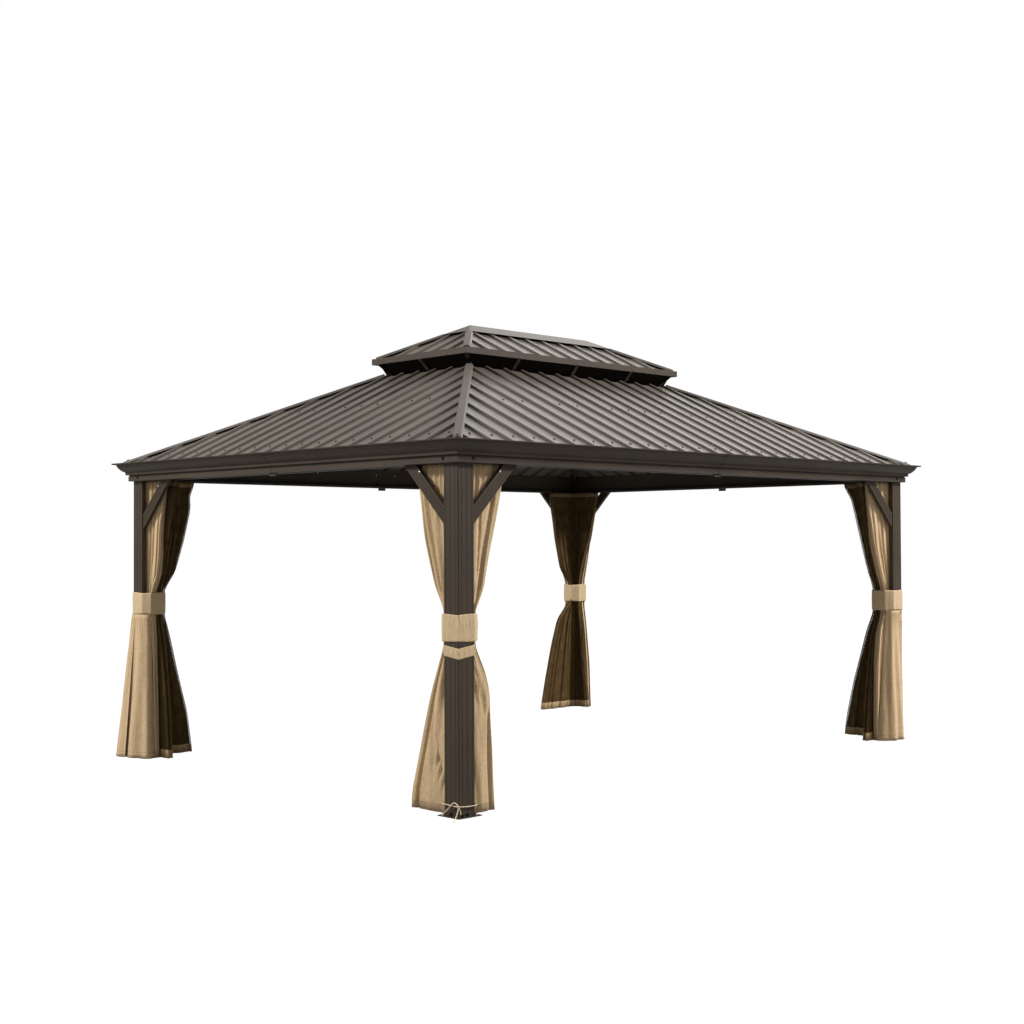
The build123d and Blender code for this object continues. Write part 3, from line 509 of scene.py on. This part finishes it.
def wing_section(reach, face, inwards, half_folds, relief):
    """Reach along the beam and depth behind the posts' faces, for each row and column: pleats out to
    the reach as a cosine, a plain leaf back, and the shown leaf out again with its relief."""
    reach = reach[:, None]
    rng = np.random.default_rng(half_folds)
    nearest = [max(face, face + inwards * depth) + off_post for depth in (leaf_room, back_limit, pleat_limit)]
    count = np.arange(2 * half_folds + 1)
    share = count / count[-1] + rng.uniform(-0.22, 0.22, len(count)) / count[-1] * (count % count[-1] > 0)
    pleat_reach = nearest[2] + (reach - pleats_short - nearest[2]) * share
    size = pleat_size * (1 - rng.uniform(0, 0.15, len(count)))
    pleats = face + inwards * (pleat_middle + size * np.cos(np.pi * count / 2)) + 0 * reach
    turned_back = np.linspace(1, 0, return_columns)
    back_reach = nearest[1] + (reach - back_short - nearest[1]) * turned_back
    back = face + inwards * back_depth + 0 * back_reach
    across = np.linspace(0, 1, panel_columns)
    depth = leaf_room * np.tanh(relief * eased(across / post_fade) / relief_soft)
    turned_in = edge_turn * eased((across - (1 - edge_width)) / edge_width)
    depth = np.minimum(depth + turned_in, leaf_room)
    shown_reach = nearest[0] + (reach - nearest[0]) * across
    shown = face + inwards * depth
    return np.hstack([pleat_reach, back_reach, shown_reach]), np.hstack([pleats, back, shown])


def woven(name, points, uv, material, thickness, ring=False):
    """A cloth from a grid of points, each cell a face, thickened evenly to both sides. A ring's last
    column joins its first, and its uv has one column more."""
    rows, columns = points.shape[:2]
    index = np.arange(rows * columns).reshape(rows, columns)
    if ring:
        index = np.hstack([index, index[:, :1]])
    faces = np.stack([index[:-1, :-1], index[:-1, 1:], index[1:, 1:], index[1:, :-1]], axis=-1).reshape(-1, 4)
    cells = np.stack([uv[:-1, :-1], uv[:-1, 1:], uv[1:, 1:], uv[1:, :-1]], axis=2).reshape(-1)
    piece = piece_of(name, points.reshape(-1, 3).tolist(), faces.tolist(), material)
    piece.data.uv_layers.new(name="cloth").data.foreach_set("uv", cells)
    piece.data.polygons.foreach_set("use_smooth", np.ones(len(faces), bool))
    solid = piece.modifiers.new("thickness", "SOLIDIFY")
    solid.thickness = thickness
    solid.offset = 0.0
    return piece


band_lift = {"back_left": 0.048, "front_right": 0.016}  # the bands on two posts are tied higher


def at_corner(place, axis, reach, depth, height):
    """Points in the object's frame from a wing's reach along its beam, depth and height. The height
    grows by the band's lift, which fades out to the hem and to the track."""
    side_x, side_y = corner_signs[place]
    height = height + band_lift.get(place, 0.0) * eased(height / 0.9) * eased((cloth_top - height) / 0.8)
    along_x, along_y = (reach, depth) if axis == "x" else (depth, reach)
    return np.stack([side_x * (half_length - along_x), side_y * (half_width - along_y), height], axis=-1)


def cloth_uv(points):
    """Metres along the cloth, averaged over its rows, and metres up it."""
    run = np.linalg.norm(np.diff(points, axis=1), axis=-1).mean(axis=0)
    along_it = np.concatenate([[0], np.cumsum(run)])
    return np.stack(np.broadcast_arrays(along_it - along_it[-1], points[:, :1, 2]), axis=-1)


def line_mask(tree, value, middle, half):
    """1 where a value is within half of the middle."""
    return maths(tree, "LESS_THAN", maths(tree, "ABSOLUTE", maths(tree, "SUBTRACT", value, middle)), half)


weave_rate, stitch_half = 9000.0, 0.0011  # radians a metre: a thread every 0.7 mm


def khaki_cloth(name, dark, light, hem_line=None):
    """Plain weave in khaki: two sets of threads, slubs, soft creases, and a stitched hem. The creases also
    tint the colour as painted shade, darker in their hollows and lighter on their ridges.
    """
    material, tree, shader = new_finish(name)
    uv = add(tree, "ShaderNodeTexCoord").outputs["UV"]
    split = add(tree, "ShaderNodeSeparateXYZ", Vector=uv)
    warp = maths(tree, "SINE", maths(tree, "MULTIPLY", split.outputs["X"], weave_rate))
    weft = maths(tree, "SINE", maths(tree, "MULTIPLY", split.outputs["Y"], weave_rate))
    stretch = add(tree, "ShaderNodeMapping", Vector=uv, Rotation=(0, 0, 0.6), Scale=(17.0, 5.0, 1.0))
    creases = add(
        tree, "ShaderNodeTexNoise", Vector=stretch.outputs[0], Scale=1.0, Detail=6.0, Roughness=0.62,
    )
    slubs = add(tree, "ShaderNodeTexNoise", Vector=uv, Scale=55.0, Detail=3.0)
    # Painted shade: the crease relief darkens the colour in its hollows and lightens it on its ridges.
    crease_painted_shade = maths(tree, "MULTIPLY", creases.outputs["Fac"], 0.35)
    slub_tint = maths(tree, "MULTIPLY", slubs.outputs["Fac"], 0.65)
    colour = mottled(tree, maths(tree, "ADD", crease_painted_shade, slub_tint), dark, light)
    if hem_line is not None:
        stitch = line_mask(tree, split.outputs["Y"], hem_line, stitch_half)
        thread_colour = (*[0.55 * value for value in dark], 1)
        colour = add(tree, "ShaderNodeMix", "RGBA", i0=stitch, i6=colour, i7=thread_colour).outputs[2]
    tree.links.new(colour, shader.inputs["Base Color"])
    weave = add(tree, "ShaderNodeBump", Height=maths(tree, "ADD", warp, weft), Strength=0.3, Distance=0.00015)
    crease = add(
        tree, "ShaderNodeBump", Height=creases.outputs["Fac"], Normal=weave.outputs["Normal"], Strength=0.7,
        Distance=0.012,
    )
    tree.links.new(crease.outputs["Normal"], shader.inputs["Normal"])
    shader.inputs["Roughness"].default_value = 0.82
    shader.inputs["Specular IOR Level"].default_value = 0.25
    shader.inputs["Sheen Weight"].default_value = 0.15
    return material


khaki = khaki_cloth("khaki_cloth", (0.42, 0.29, 0.155), (0.55, 0.39, 0.222), hem_line=0.05)
cloth_reach = {  # height and reach along the beam of each wing's edge
    "front_left": {
        "x": [(0.02, 0.328), (0.23, 0.312), (0.53, 0.296), (0.68, 0.292), (0.78, 0.264), (0.95, 0.177),
              (1.16, 0.177), (1.29, 0.256), (1.48, 0.296), (1.63, 0.337), (1.78, 0.373), (1.92, 0.405)],
        "y": [(0.02, 0.468), (0.1, 0.464), (0.25, 0.42), (0.46, 0.355), (0.7, 0.28), (0.84, 0.224),
              (0.96, 0.177), (1.16, 0.177), (1.31, 0.26), (1.57, 0.338), (1.87, 0.396)],
    },
    "front_right": {
        "x": [(0.02, 0.303), (0.25, 0.302), (0.6, 0.286), (0.82, 0.25), (0.96, 0.177), (1.16, 0.177),
              (1.3, 0.25), (1.5, 0.325), (1.75, 0.37), (1.93, 0.398)],
        "y": [(0.02, 0.338), (0.3, 0.31), (0.6, 0.27), (0.82, 0.225), (0.96, 0.177), (1.16, 0.177),
              (1.3, 0.24), (1.6, 0.31), (1.9, 0.375)],
    },
    "back_left": {
        "x": [(0.02, 0.338), (0.3, 0.31), (0.6, 0.27), (0.82, 0.225), (0.96, 0.177), (1.16, 0.177),
              (1.3, 0.25), (1.6, 0.33), (1.9, 0.395)],
        "y": [(0.02, 0.234), (0.4, 0.222), (0.8, 0.2), (0.96, 0.177), (1.16, 0.177), (1.26, 0.25),
              (1.45, 0.283), (1.6, 0.29), (1.87, 0.325), (1.95, 0.34)],
    },
    "back_right": {
        "x": [(0.02, 0.478), (0.3, 0.4), (0.6, 0.32), (0.82, 0.24), (0.96, 0.177), (1.16, 0.177),
              (1.3, 0.25), (1.6, 0.33), (1.9, 0.395)],
        "y": [(0.02, 0.254), (0.4, 0.235), (0.75, 0.205), (0.96, 0.177), (1.16, 0.177), (1.4, 0.235),
              (1.6, 0.275), (1.9, 0.318)],
    },
}
cloth_folds = {  # middle, width before and after it, depth, lean, low end, high end
    ("front_left", "x"): [
        (0.8, 0.1, 0.02, 0.024, 0.1, 1.2, 2.3), (0.93, 0.02, 0.06, 0.014, 0.0, 1.2, 2.3),
        (0.55, 0.06, 0.03, 0.014, -0.3, 1.3, 1.8), (0.36, 0.02, 0.05, 0.014, 0.2, 1.55, 2.3),
        (0.3, 0.02, 0.12, 0.03, -1.5, 0.6, 0.98), (0.22, 0.1, 0.018, 0.026, -1.6, 0.2, 0.5),
        (0.86, 0.07, 0.03, 0.02, 0.1, -0.3, 0.62), (0.12, 0.02, 0.07, 0.026, -0.2, -0.1, 0.6),
        (0.62, 0.018, 0.05, 0.012, -0.9, 0.5, 0.95), (0.55, 0.15, 0.15, -0.007, 0.0, 0.0, 0.9),
    ],
    ("front_left", "y"): [
        (0.46, 0.03, 0.1, 0.027, 0.04, 1.15, 2.3), (0.74, 0.02, 0.06, 0.018, 0.1, 1.2, 2.3),
        (0.28, 0.08, 0.02, 0.012, -0.2, 1.4, 2.3), (0.9, 0.03, 0.02, 0.01, 0.0, 1.2, 2.3),
        (0.5, 0.018, 0.1, 0.032, 0.9, 0.6, 1.0), (0.3, 0.1, 0.018, 0.028, 1.2, 0.36, 0.8),
        (0.82, 0.014, 0.035, 0.036, 0.0, -0.3, 0.97), (0.34, 0.1, 0.018, 0.026, 1.4, 0.02, 0.4),
        (0.62, 0.018, 0.06, 0.016, 0.7, 0.2, 0.6), (0.6, 0.14, 0.14, -0.007, 0.0, 0.0, 0.9),
    ],
    ("front_right", "x"): [
        (0.3, 0.05, 0.02, 0.02, 0.1, 1.2, 2.3), (0.5, 0.02, 0.06, 0.02, 0.05, 1.15, 2.3),
        (0.7, 0.05, 0.02, 0.016, 0.05, 1.2, 2.3), (0.88, 0.02, 0.05, 0.012, 0.0, 1.2, 2.3),
        (0.35, 0.06, 0.02, 0.016, -0.2, 0.4, 1.0), (0.6, 0.03, 0.08, 0.018, -0.1, -0.3, 1.0),
        (0.84, 0.05, 0.02, 0.014, 0.0, -0.3, 0.9),
    ],
    ("back_left", "y"): [
        (0.26, 0.05, 0.02, 0.018, 0.1, 1.15, 2.3), (0.44, 0.02, 0.06, 0.02, 0.05, 1.2, 2.3),
        (0.66, 0.06, 0.02, 0.024, 0.1, 1.15, 2.3), (0.86, 0.02, 0.05, 0.014, 0.0, 1.2, 2.3),
        (0.4, 0.06, 0.02, 0.018, -0.1, 0.4, 1.0), (0.7, 0.03, 0.09, 0.016, 0.1, -0.3, 0.9),
    ],
}


def chance_folds(rng):
    """Five folds above the band and five below, about evenly spread, each sharp on one side."""
    folds = []
    for low, high in ((1.15, 2.3), (-0.3, 1.0)):
        for place in (np.arange(5) + rng.uniform(0.2, 0.8, 5)) / 5:
            sides = rng.permutation([rng.uniform(0.015, 0.03), rng.uniform(0.05, 0.09)])
            folds.append((place, *sides, rng.uniform(0.012, 0.024), rng.uniform(-0.1, 0.1), low, high))
    return folds


def hang(name, place, axis, reach_points, face, inwards, material, seed, folds=None):
    """One wing of cloth, returned with the size it was cut to."""
    rng = np.random.default_rng(seed)
    side = "long" if axis == "x" else "short"
    width, half_folds = {"long": (2.3, 68), "short": (1.75, 52)}[side]
    height = cloth_rows[:, None]
    across = np.linspace(0, 1, panel_columns)
    relief = leaf_relief(across, height, folds or chance_folds(rng), rng)
    reach = smooth_line(reach_points, cloth_rows)
    reach_grid, depth_grid = wing_section(reach, face, inwards, half_folds, relief)
    points = at_corner(place, axis, reach_grid, depth_grid, height + 0 * reach_grid)
    piece = woven(name, points, cloth_uv(points), material, 0.0009)
    return piece, (width, cloth_top - hem)


curtain_face, netting_face = 0.0342, 0.1405
for number, place in enumerate(corner_signs):
    for axis in "xy":
        name = f"curtain_{place}_{axis}"
        piece, flat = hang(
            name, place, axis, cloth_reach[place][axis], curtain_face, 1, khaki, 10 * number + (axis == "y"),
            cloth_folds.get((place, axis)),
        )
        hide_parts(f"curtain_{place}")

# On two corners the curtain is drawn round the outside of the post under its band. This part of it
# falls from under the band in a few wide folds, out over the post's foot.
skirt_outlines = {  # reach and depth from the wing's face round the post, under the band and at the hem
    "front_right": (
        "x", [(0.178, 0.038), (0.15, -0.003), (0.1, -0.008), (0.034, -0.007), (0.033, -0.004)],
        [(0.298, 0.038), (0.258, -0.036), (0.17, -0.056), (0.036, -0.046), (0.034, -0.006)],
    ),
    "back_left": (
        "y", [(0.176, 0.038), (0.166, 0.01), (0.1, -0.008), (-0.009, -0.009), (0.044, -0.008)],
        [(0.23, 0.038), (0.234, -0.028), (0.12, -0.066), (-0.092, -0.094), (0.044, -0.094)],
    ),
}
skirt_top, skirt_columns, skirt_rows = 0.987, 110, 34
wave_count, wave_deep, gather_count, skirt_gather = 3.2, 0.009, 9, 0.003


def run_of(outline, columns):
    """Points evenly spaced along an outline, its corners rounded by a sliding average."""
    known = np.array(outline)
    run = np.concatenate([[0], np.cumsum(np.linalg.norm(np.diff(known, axis=0), axis=1))])
    at = np.linspace(0, run[-1], columns)
    weight = np.hanning(2 * (columns // 9) + 1)
    weight /= weight.sum()
    lines = []
    for value in known.T:
        line = np.interp(at, run, value)
        pad = len(weight) // 2
        reach = np.concatenate([2 * line[0] - line[pad:0:-1], line, 2 * line[-1] - line[-2:-pad - 2:-1]])
        lines.append(np.convolve(reach, weight, "valid"))
    return np.stack(lines, axis=-1)


def skirt(name, place, axis, top, low, material, seed):
    """A leaf lofted from its outline under the band to the one at the hem, pushed in and out across
    its run by folds that widen downwards."""
    rng = np.random.default_rng(seed)
    upper, lower = run_of(top, skirt_columns), run_of(low, skirt_columns)
    share = np.linspace(0, 1, skirt_rows)[:, None]
    fall = 1 - share
    outline = upper * share[..., None] + lower * fall[..., None]
    along_it = np.linspace(0, 1, skirt_columns)
    fold = np.sin(2 * np.pi * (wave_count * along_it + 0.12 * np.sin(5 * fall)) + 0.6)
    gather = np.sin(2 * np.pi * gather_count * along_it + rng.uniform(0, 6)) ** 2
    push = wave_deep * fold * fall ** 0.8 + skirt_gather * gather * np.exp(-((fall / 0.16) ** 2))
    for number in range(4):
        slant, step, start = rng.uniform(-9, 9), rng.uniform(7, 20), rng.uniform(0, 6)
        push = push + 0.0009 * eased(fall / 0.2) * np.sin(step * along_it + slant * fall + start)
    push = push * eased(along_it / 0.06) * eased((1 - along_it) / 0.06)
    way = np.gradient(outline, axis=1)
    way /= np.linalg.norm(way, axis=-1, keepdims=True)
    across = np.stack([way[..., 1], -way[..., 0]], axis=-1)
    across *= np.sign((across[..., 1] * -1).mean())
    outline = outline + push[..., None] * across
    height = hem + (skirt_top - hem) * share + 0 * along_it
    points = at_corner(place, axis, outline[..., 0], outline[..., 1], height)
    piece = woven(name, points, cloth_uv(points), material, 0.0012)
    return piece, float(np.linalg.norm(np.diff(lower, axis=0), axis=1).sum())


for seed, (place, (axis, top, low)) in enumerate(skirt_outlines.items()):
    piece, width = skirt(f"curtain_{place}_outside", place, axis, top, low, khaki, 50 + seed)
    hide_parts(f"curtain_{place}")

# Netting: brown mesh behind each curtain, with a brown header, a khaki hem and a tape along its
# free edge. It hangs from the inner track and is gathered in the same bands.
net_cell, thread_share = 0.0016, 0.42
net_hem, net_header, edge_tape = 0.06, 0.035, 0.007


def netting_cloth(name, tapes, tape_dark, tape_light):
    """Square mesh: threads of two sets, see-through between them. The header, the hem and the tapes,
    each a middle and half width along the cloth, are solid cloth."""
    material, tree, shader = new_finish(name)
    uv = add(tree, "ShaderNodeTexCoord").outputs["UV"]
    split = add(tree, "ShaderNodeSeparateXYZ", Vector=uv)
    thread = None
    for axis in "XY":
        cell = maths(tree, "FRACT", maths(tree, "MULTIPLY", split.outputs[axis], 1 / net_cell))
        solid = maths(tree, "LESS_THAN", cell, thread_share)
        thread = solid if thread is None else maths(tree, "MAXIMUM", thread, solid)
    hem_part = maths(tree, "LESS_THAN", split.outputs["Y"], hem + net_hem)
    header = maths(tree, "GREATER_THAN", split.outputs["Y"], cloth_top - net_header)
    tape = line_mask(tree, split.outputs["X"], 0.0, edge_tape)
    for middle, half in tapes:
        tape = maths(tree, "MAXIMUM", tape, line_mask(tree, split.outputs["X"], middle, half))
    solid_part = maths(tree, "MAXIMUM", maths(tree, "MAXIMUM", hem_part, header), tape)
    cloud = add(tree, "ShaderNodeTexNoise", Vector=uv, Scale=14.0, Detail=4.0)
    net = mottled(tree, cloud.outputs["Fac"], (0.075, 0.043, 0.014), (0.12, 0.071, 0.025))
    trim = mottled(tree, cloud.outputs["Fac"], (0.2, 0.135, 0.066), (0.29, 0.2, 0.1))
    hem_colour = mottled(tree, cloud.outputs["Fac"], (0.4, 0.275, 0.145), (0.5, 0.355, 0.2))
    tape_colour = mottled(tree, cloud.outputs["Fac"], tape_dark, tape_light)
    for mask, colour in ((header, trim), (tape, tape_colour), (hem_part, hem_colour)):
        net = add(tree, "ShaderNodeMix", "RGBA", i0=mask, i6=net, i7=colour).outputs[2]
    tree.links.new(net, shader.inputs["Base Color"])
    tree.links.new(maths(tree, "MAXIMUM", solid_part, thread), shader.inputs["Alpha"])
    shader.inputs["Roughness"].default_value = 0.7
    shader.inputs["Specular IOR Level"].default_value = 0.12
    return material


netting = netting_cloth("netting_cloth", [], (0.1, 0.062, 0.025), (0.16, 0.1, 0.045))
netting_wide_tape = netting_cloth(
    "netting_wide_tape", [(-0.78, 0.2)], (0.36, 0.245, 0.125), (0.5, 0.35, 0.19),
)
netting_reach = {  # as cloth_reach
    "front_left": {
        "x": [(0.02, 0.338), (0.5, 0.3), (0.8, 0.245), (0.96, 0.177), (1.16, 0.177), (1.35, 0.265),
              (1.6, 0.335), (1.9, 0.418)],
        "y": [(0.02, 0.478), (0.1, 0.476), (0.25, 0.429), (0.46, 0.361), (0.7, 0.28), (0.86, 0.225),
              (0.96, 0.177), (1.16, 0.177), (1.31, 0.25), (1.57, 0.335), (1.9, 0.418)],
    },
    "front_right": {
        "x": [(0.02, 0.378), (0.5, 0.31), (0.8, 0.25), (0.96, 0.177), (1.16, 0.177), (1.35, 0.265),
              (1.6, 0.345), (1.9, 0.44)],
        "y": [(0.02, 0.453), (0.17, 0.427), (0.44, 0.361), (0.62, 0.304), (0.83, 0.238), (0.97, 0.177),
              (1.16, 0.177), (1.25, 0.219), (1.4, 0.257), (1.6, 0.304), (1.88, 0.375), (1.97, 0.44)],
    },
    "back_left": {
        "x": [(0.02, 0.418), (0.28, 0.38), (0.6, 0.287), (0.93, 0.2), (0.99, 0.178), (1.15, 0.177),
              (1.285, 0.277), (1.535, 0.351), (1.8, 0.41), (1.9, 0.4), (1.97, 0.44)],
        "y": [(0.02, 0.328), (0.5, 0.28), (0.8, 0.22), (0.96, 0.177), (1.16, 0.177), (1.35, 0.26),
              (1.6, 0.33), (1.9, 0.418)],
    },
    "back_right": {
        "x": [(0.02, 0.566), (0.3, 0.5), (0.6, 0.42), (0.83, 0.34), (0.93, 0.24), (0.99, 0.178),
              (1.15, 0.178), (1.29, 0.3), (1.57, 0.37), (1.79, 0.405), (1.95, 0.42)],
        "y": [(0.02, 0.276), (0.42, 0.232), (0.75, 0.2), (0.96, 0.177), (1.16, 0.177), (1.31, 0.214),
              (1.44, 0.258), (1.57, 0.31), (1.82, 0.365), (1.97, 0.4)],
    },
}
for number, place in enumerate(corner_signs):
    for axis in "xy":
        name = f"netting_{place}_{axis}"
        cloth = netting_wide_tape if (place, axis) == ("front_left", "y") else netting
        seed = 100 + 10 * number + (axis == "y")
        piece, flat = hang(name, place, axis, netting_reach[place][axis], netting_face, -1, cloth, seed)
        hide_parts(f"netting_{place}")

# Bands: a flat khaki loop round the post's outer faces and the gathered cloth, with a few pulled
# creases, and below it a narrow strap that dips to the post's arris.
band_cloth = khaki_cloth("band_cloth", (0.45, 0.325, 0.185), (0.54, 0.4, 0.235))
band_outline = [  # in plan, from the post's arris round the cloth and back
    (-0.0024, -0.0024), (0.1233, -0.002), (0.1822, 0.0384), (0.1822, 0.1366),
    (0.1366, 0.1822), (0.0384, 0.1822), (-0.002, 0.1233), (-0.0024, -0.0024),
]
band_columns, arris_reach, sharp_angle = 260, 0.02, 0.8
crease_count, crease_width = 16, 0.0038


def tie_band(name, place, seed):
    """A closed loop along its outline, drawn outwards by slanting creases and rounded at both edges."""
    rng = np.random.default_rng(seed)
    known = np.array(band_outline)
    run = np.concatenate([[0], np.cumsum(np.linalg.norm(np.diff(known, axis=0), axis=1))])
    at = np.arange(band_columns) * run[-1] / band_columns
    weight = np.hanning(7)[1:-1]
    weight /= weight.sum()
    plan = np.stack([np.interp(at, run, value) for value in known.T], axis=-1)
    rounded = sum(np.roll(plan, shift - 2, axis=0) * weight[shift] for shift in range(5))
    from_arris = np.minimum(at, run[-1] - at)[:, None]
    plan = np.where(from_arris < arris_reach, plan, rounded)
    way = np.roll(plan, -1, axis=0) - np.roll(plan, 1, axis=0)
    way /= np.linalg.norm(way, axis=-1, keepdims=True)
    outwards = np.stack([way[:, 1], -way[:, 0]], axis=-1)
    height = np.linspace(0, 1, 17)[:, None]
    creases = 0 * height + 0 * at
    for number in range(crease_count):
        middle, lean = rng.uniform(0, run[-1]), rng.uniform(-0.1, 0.1)
        low, deep = rng.uniform(0, 0.75), rng.uniform(0.0012, 0.0034)
        off = (at - middle - lean * (height - 0.5) + run[-1] / 2) % run[-1] - run[-1] / 2
        bell = deep * np.exp(-((off / crease_width) ** 2))
        creases = creases + bell * eased((height - low) / 0.1) * eased((low + 0.5 - height) / 0.2)
    creases = creases + 0.0012 * np.sin(np.pi * height)
    loop = plan[None] + creases[..., None] * outwards[None]
    edge = 0.0022 * np.sin(6 * np.pi * at / run[-1] + rng.uniform(0, 6)) * (2 * height - 1)
    upright = band_low + (band_high - band_low) * height + edge
    points = at_corner(place, "x", loop[..., 0], loop[..., 1], upright)
    along_it = np.append(at, run[-1])
    uv = np.stack(np.broadcast_arrays(along_it, upright[:, :1]), axis=-1)
    piece = woven(name, points, uv, band_cloth, 0.0022, ring=True)
    piece.data.set_sharp_from_angle(angle=sharp_angle)
    return piece, run[-1]


strap_reach, strap_off, strap_columns = 0.1225, -0.0013, 33
strap_low, strap_width, strap_dip = 0.907, 0.062, 0.017


def strap(name, place):
    """A strip over both outer faces; its height falls evenly from its ends to the arris."""
    across_face = np.linspace(strap_reach, strap_off, strap_columns)
    flat_part = np.full(strap_columns, strap_off)
    reach = np.concatenate([across_face, flat_part[1:]])
    depth = np.concatenate([flat_part, np.linspace(strap_off, strap_reach, strap_columns)[1:]])
    from_arris = np.maximum(reach, depth) / strap_reach
    share = np.linspace(0, 1, 9)[:, None]
    height = strap_low + strap_width * share - strap_dip * (1 - from_arris)
    bulge = 0.0012 * np.sin(np.pi * share) + 0.001 * np.sin(np.pi * share) * np.sin(19 * from_arris)
    notch = 0.0015 * np.exp(-((from_arris / 0.05) ** 2)) * np.sin(np.pi * share)  # pressed in at the arris
    out = bulge - notch
    front = (depth < 0).astype(float)
    points = at_corner(place, "x", reach - out * (1 - front), depth - out * front, height)
    piece = woven(name, points, cloth_uv(points), band_cloth, 0.0018)
    piece.data.set_sharp_from_angle(angle=sharp_angle)
    return piece


for number, place in enumerate(corner_signs):
    band, girth = tie_band(f"tie_band_{place}", place, 200 + number)
    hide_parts("tie_bands")
    piece = strap(f"corner_strap_{place}", place)
    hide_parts("corner_straps")

# Tie cord: 6 mm cream cord round the foot of the nearest post, from one curtain to the other,
# knotted on the arris with a long looped tail and two short ones.
cord_radius = 0.003
cord_routes = {  # millimetres from the post's arris
    "tie_cord": [
        (39.4, 150, 77), (8, 149, 76.5), (-15, 122, 75.5), (-11, 92, 72.8), (-9, 63, 70.4),
        (-10.5, 35, 69.6), (-17, 7, 70.4), (7, -17, 69.6), (35, -10.5, 66.2), (63, -9, 64),
        (92, -11, 64.2), (122, -15, 65.5), (149, 8, 66.5), (150, 39.4, 67),
    ],
    "tie_tail_left": [
        (-14.6, -6.3, 75.8), (-16.5, 3, 87), (-18, 18, 92), (-18.5, 35, 85), (-18, 54, 66),
        (-17, 76, 46), (-18, 103, 26), (-18.5, 122, 8),
    ],
    "tie_tail_front": [
        (-16.5, -11.4, 63.2), (-20, -13, 46), (-31, -12, 26), (-52, -26, 9), (-78, -45, 3.6),
        (-100, -62, 3.4),
    ],
    "tie_tail_right": [(-10.6, -13.3, 64), (-7, -16.3, 51.5), (-2.6, -17.2, 39), (1.5, -15.6, 27)],
}
twist, twist_tree, twist_shader = new_finish("cord_yarn")
twist_place = add(twist_tree, "ShaderNodeTexCoord").outputs["Object"]
twist_yarn = add(twist_tree, "ShaderNodeTexNoise", Vector=twist_place, Scale=700.0, Detail=3.0)
twist_tree.links.new(
    mottled(twist_tree, twist_yarn.outputs["Fac"], (0.55, 0.44, 0.29), (0.72, 0.61, 0.43)),
    twist_shader.inputs["Base Color"],
)
twist_bump = add(
    twist_tree, "ShaderNodeBump", Height=twist_yarn.outputs["Fac"], Strength=0.6, Distance=0.0006,
)
twist_tree.links.new(twist_bump.outputs["Normal"], twist_shader.inputs["Normal"])
twist_shader.inputs["Roughness"].default_value = 0.8


def cord_curve(name, points):
    """A NURBS curve of the cord's own thickness through the route's control points, in metres."""
    curve = bpy.data.curves.new(name, "CURVE")
    curve.dimensions = "3D"
    line = curve.splines.new("NURBS")
    line.points.add(len(points) - 1)
    for knot, (x, y, z) in zip(line.points, points):
        knot.co = (x, y, z, 1)
    line.order_u = 3
    line.use_endpoint_u = True
    curve.resolution_u = 8
    curve.bevel_depth = cord_radius
    curve.bevel_resolution = 4
    curve.use_fill_caps = True
    curve.materials.append(twist)
    return stand(name, curve)


corner_x, corner_y = -half_length, -half_width
cord_points = {
    name: [(corner_x + x / 1000, corner_y + y / 1000, z / 1000) for x, y, z in route]
    for name, route in cord_routes.items()
}
cords = {name: cord_curve(f"{name}_line", points) for name, points in cord_points.items()}

# The knot is a small overhand knot: a closed line that goes three times through itself, with its
# axis pointing outwards over the arris.
knot_middle, knot_radius = Vector((corner_x - 0.0139, corner_y - 0.0107, 0.07)), 0.0054
knot_yarn, knot_sides = 0.0027, 12
turn = np.linspace(0, 2 * np.pi, 120, endpoint=False)
flat_knot = knot_radius / 3 * np.stack([
    np.sin(turn) + 2 * np.sin(2 * turn), np.cos(turn) - 2 * np.cos(2 * turn), -1.6 * np.sin(3 * turn),
], axis=-1)
knot_axis = Vector((-1, -1, 0.2)).normalized()
knot_line = flat_knot @ np.array(knot_axis.to_track_quat("Z", "Y").to_matrix()).T + np.array(knot_middle)
knot_way = np.roll(knot_line, -1, axis=0) - np.roll(knot_line, 1, axis=0)
knot_side = np.cross(knot_way, np.array(knot_axis))
knot_side /= np.linalg.norm(knot_side, axis=1, keepdims=True)
knot_over = np.cross(knot_side, knot_way)
knot_over /= np.linalg.norm(knot_over, axis=1, keepdims=True)
around = np.arange(knot_sides)[:, None, None] * 2 * np.pi / knot_sides
knot_ring = np.cos(around) * knot_side + np.sin(around) * knot_over
knot_tube = np.moveaxis(knot_line + knot_yarn * knot_ring, 0, 1)
knot_index = np.arange(len(knot_line) * knot_sides).reshape(-1, knot_sides)
knot_next, knot_past = np.roll(knot_index, -1, axis=0), np.roll(knot_index, -1, axis=1)
knot_cells = np.stack([knot_index, knot_past, np.roll(knot_past, -1, axis=0), knot_next], axis=-1)
knot = piece_of(
    "tie_knot_overhand", knot_tube.reshape(-1, 3).tolist(), knot_cells.reshape(-1, 4).tolist(), twist,
)
knot.data.polygons.foreach_set("use_smooth", np.ones(len(knot.data.polygons), bool))
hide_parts("tie_knot")
for name, piece in cords.items():
    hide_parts(name)

bpy.context.view_layer.update()
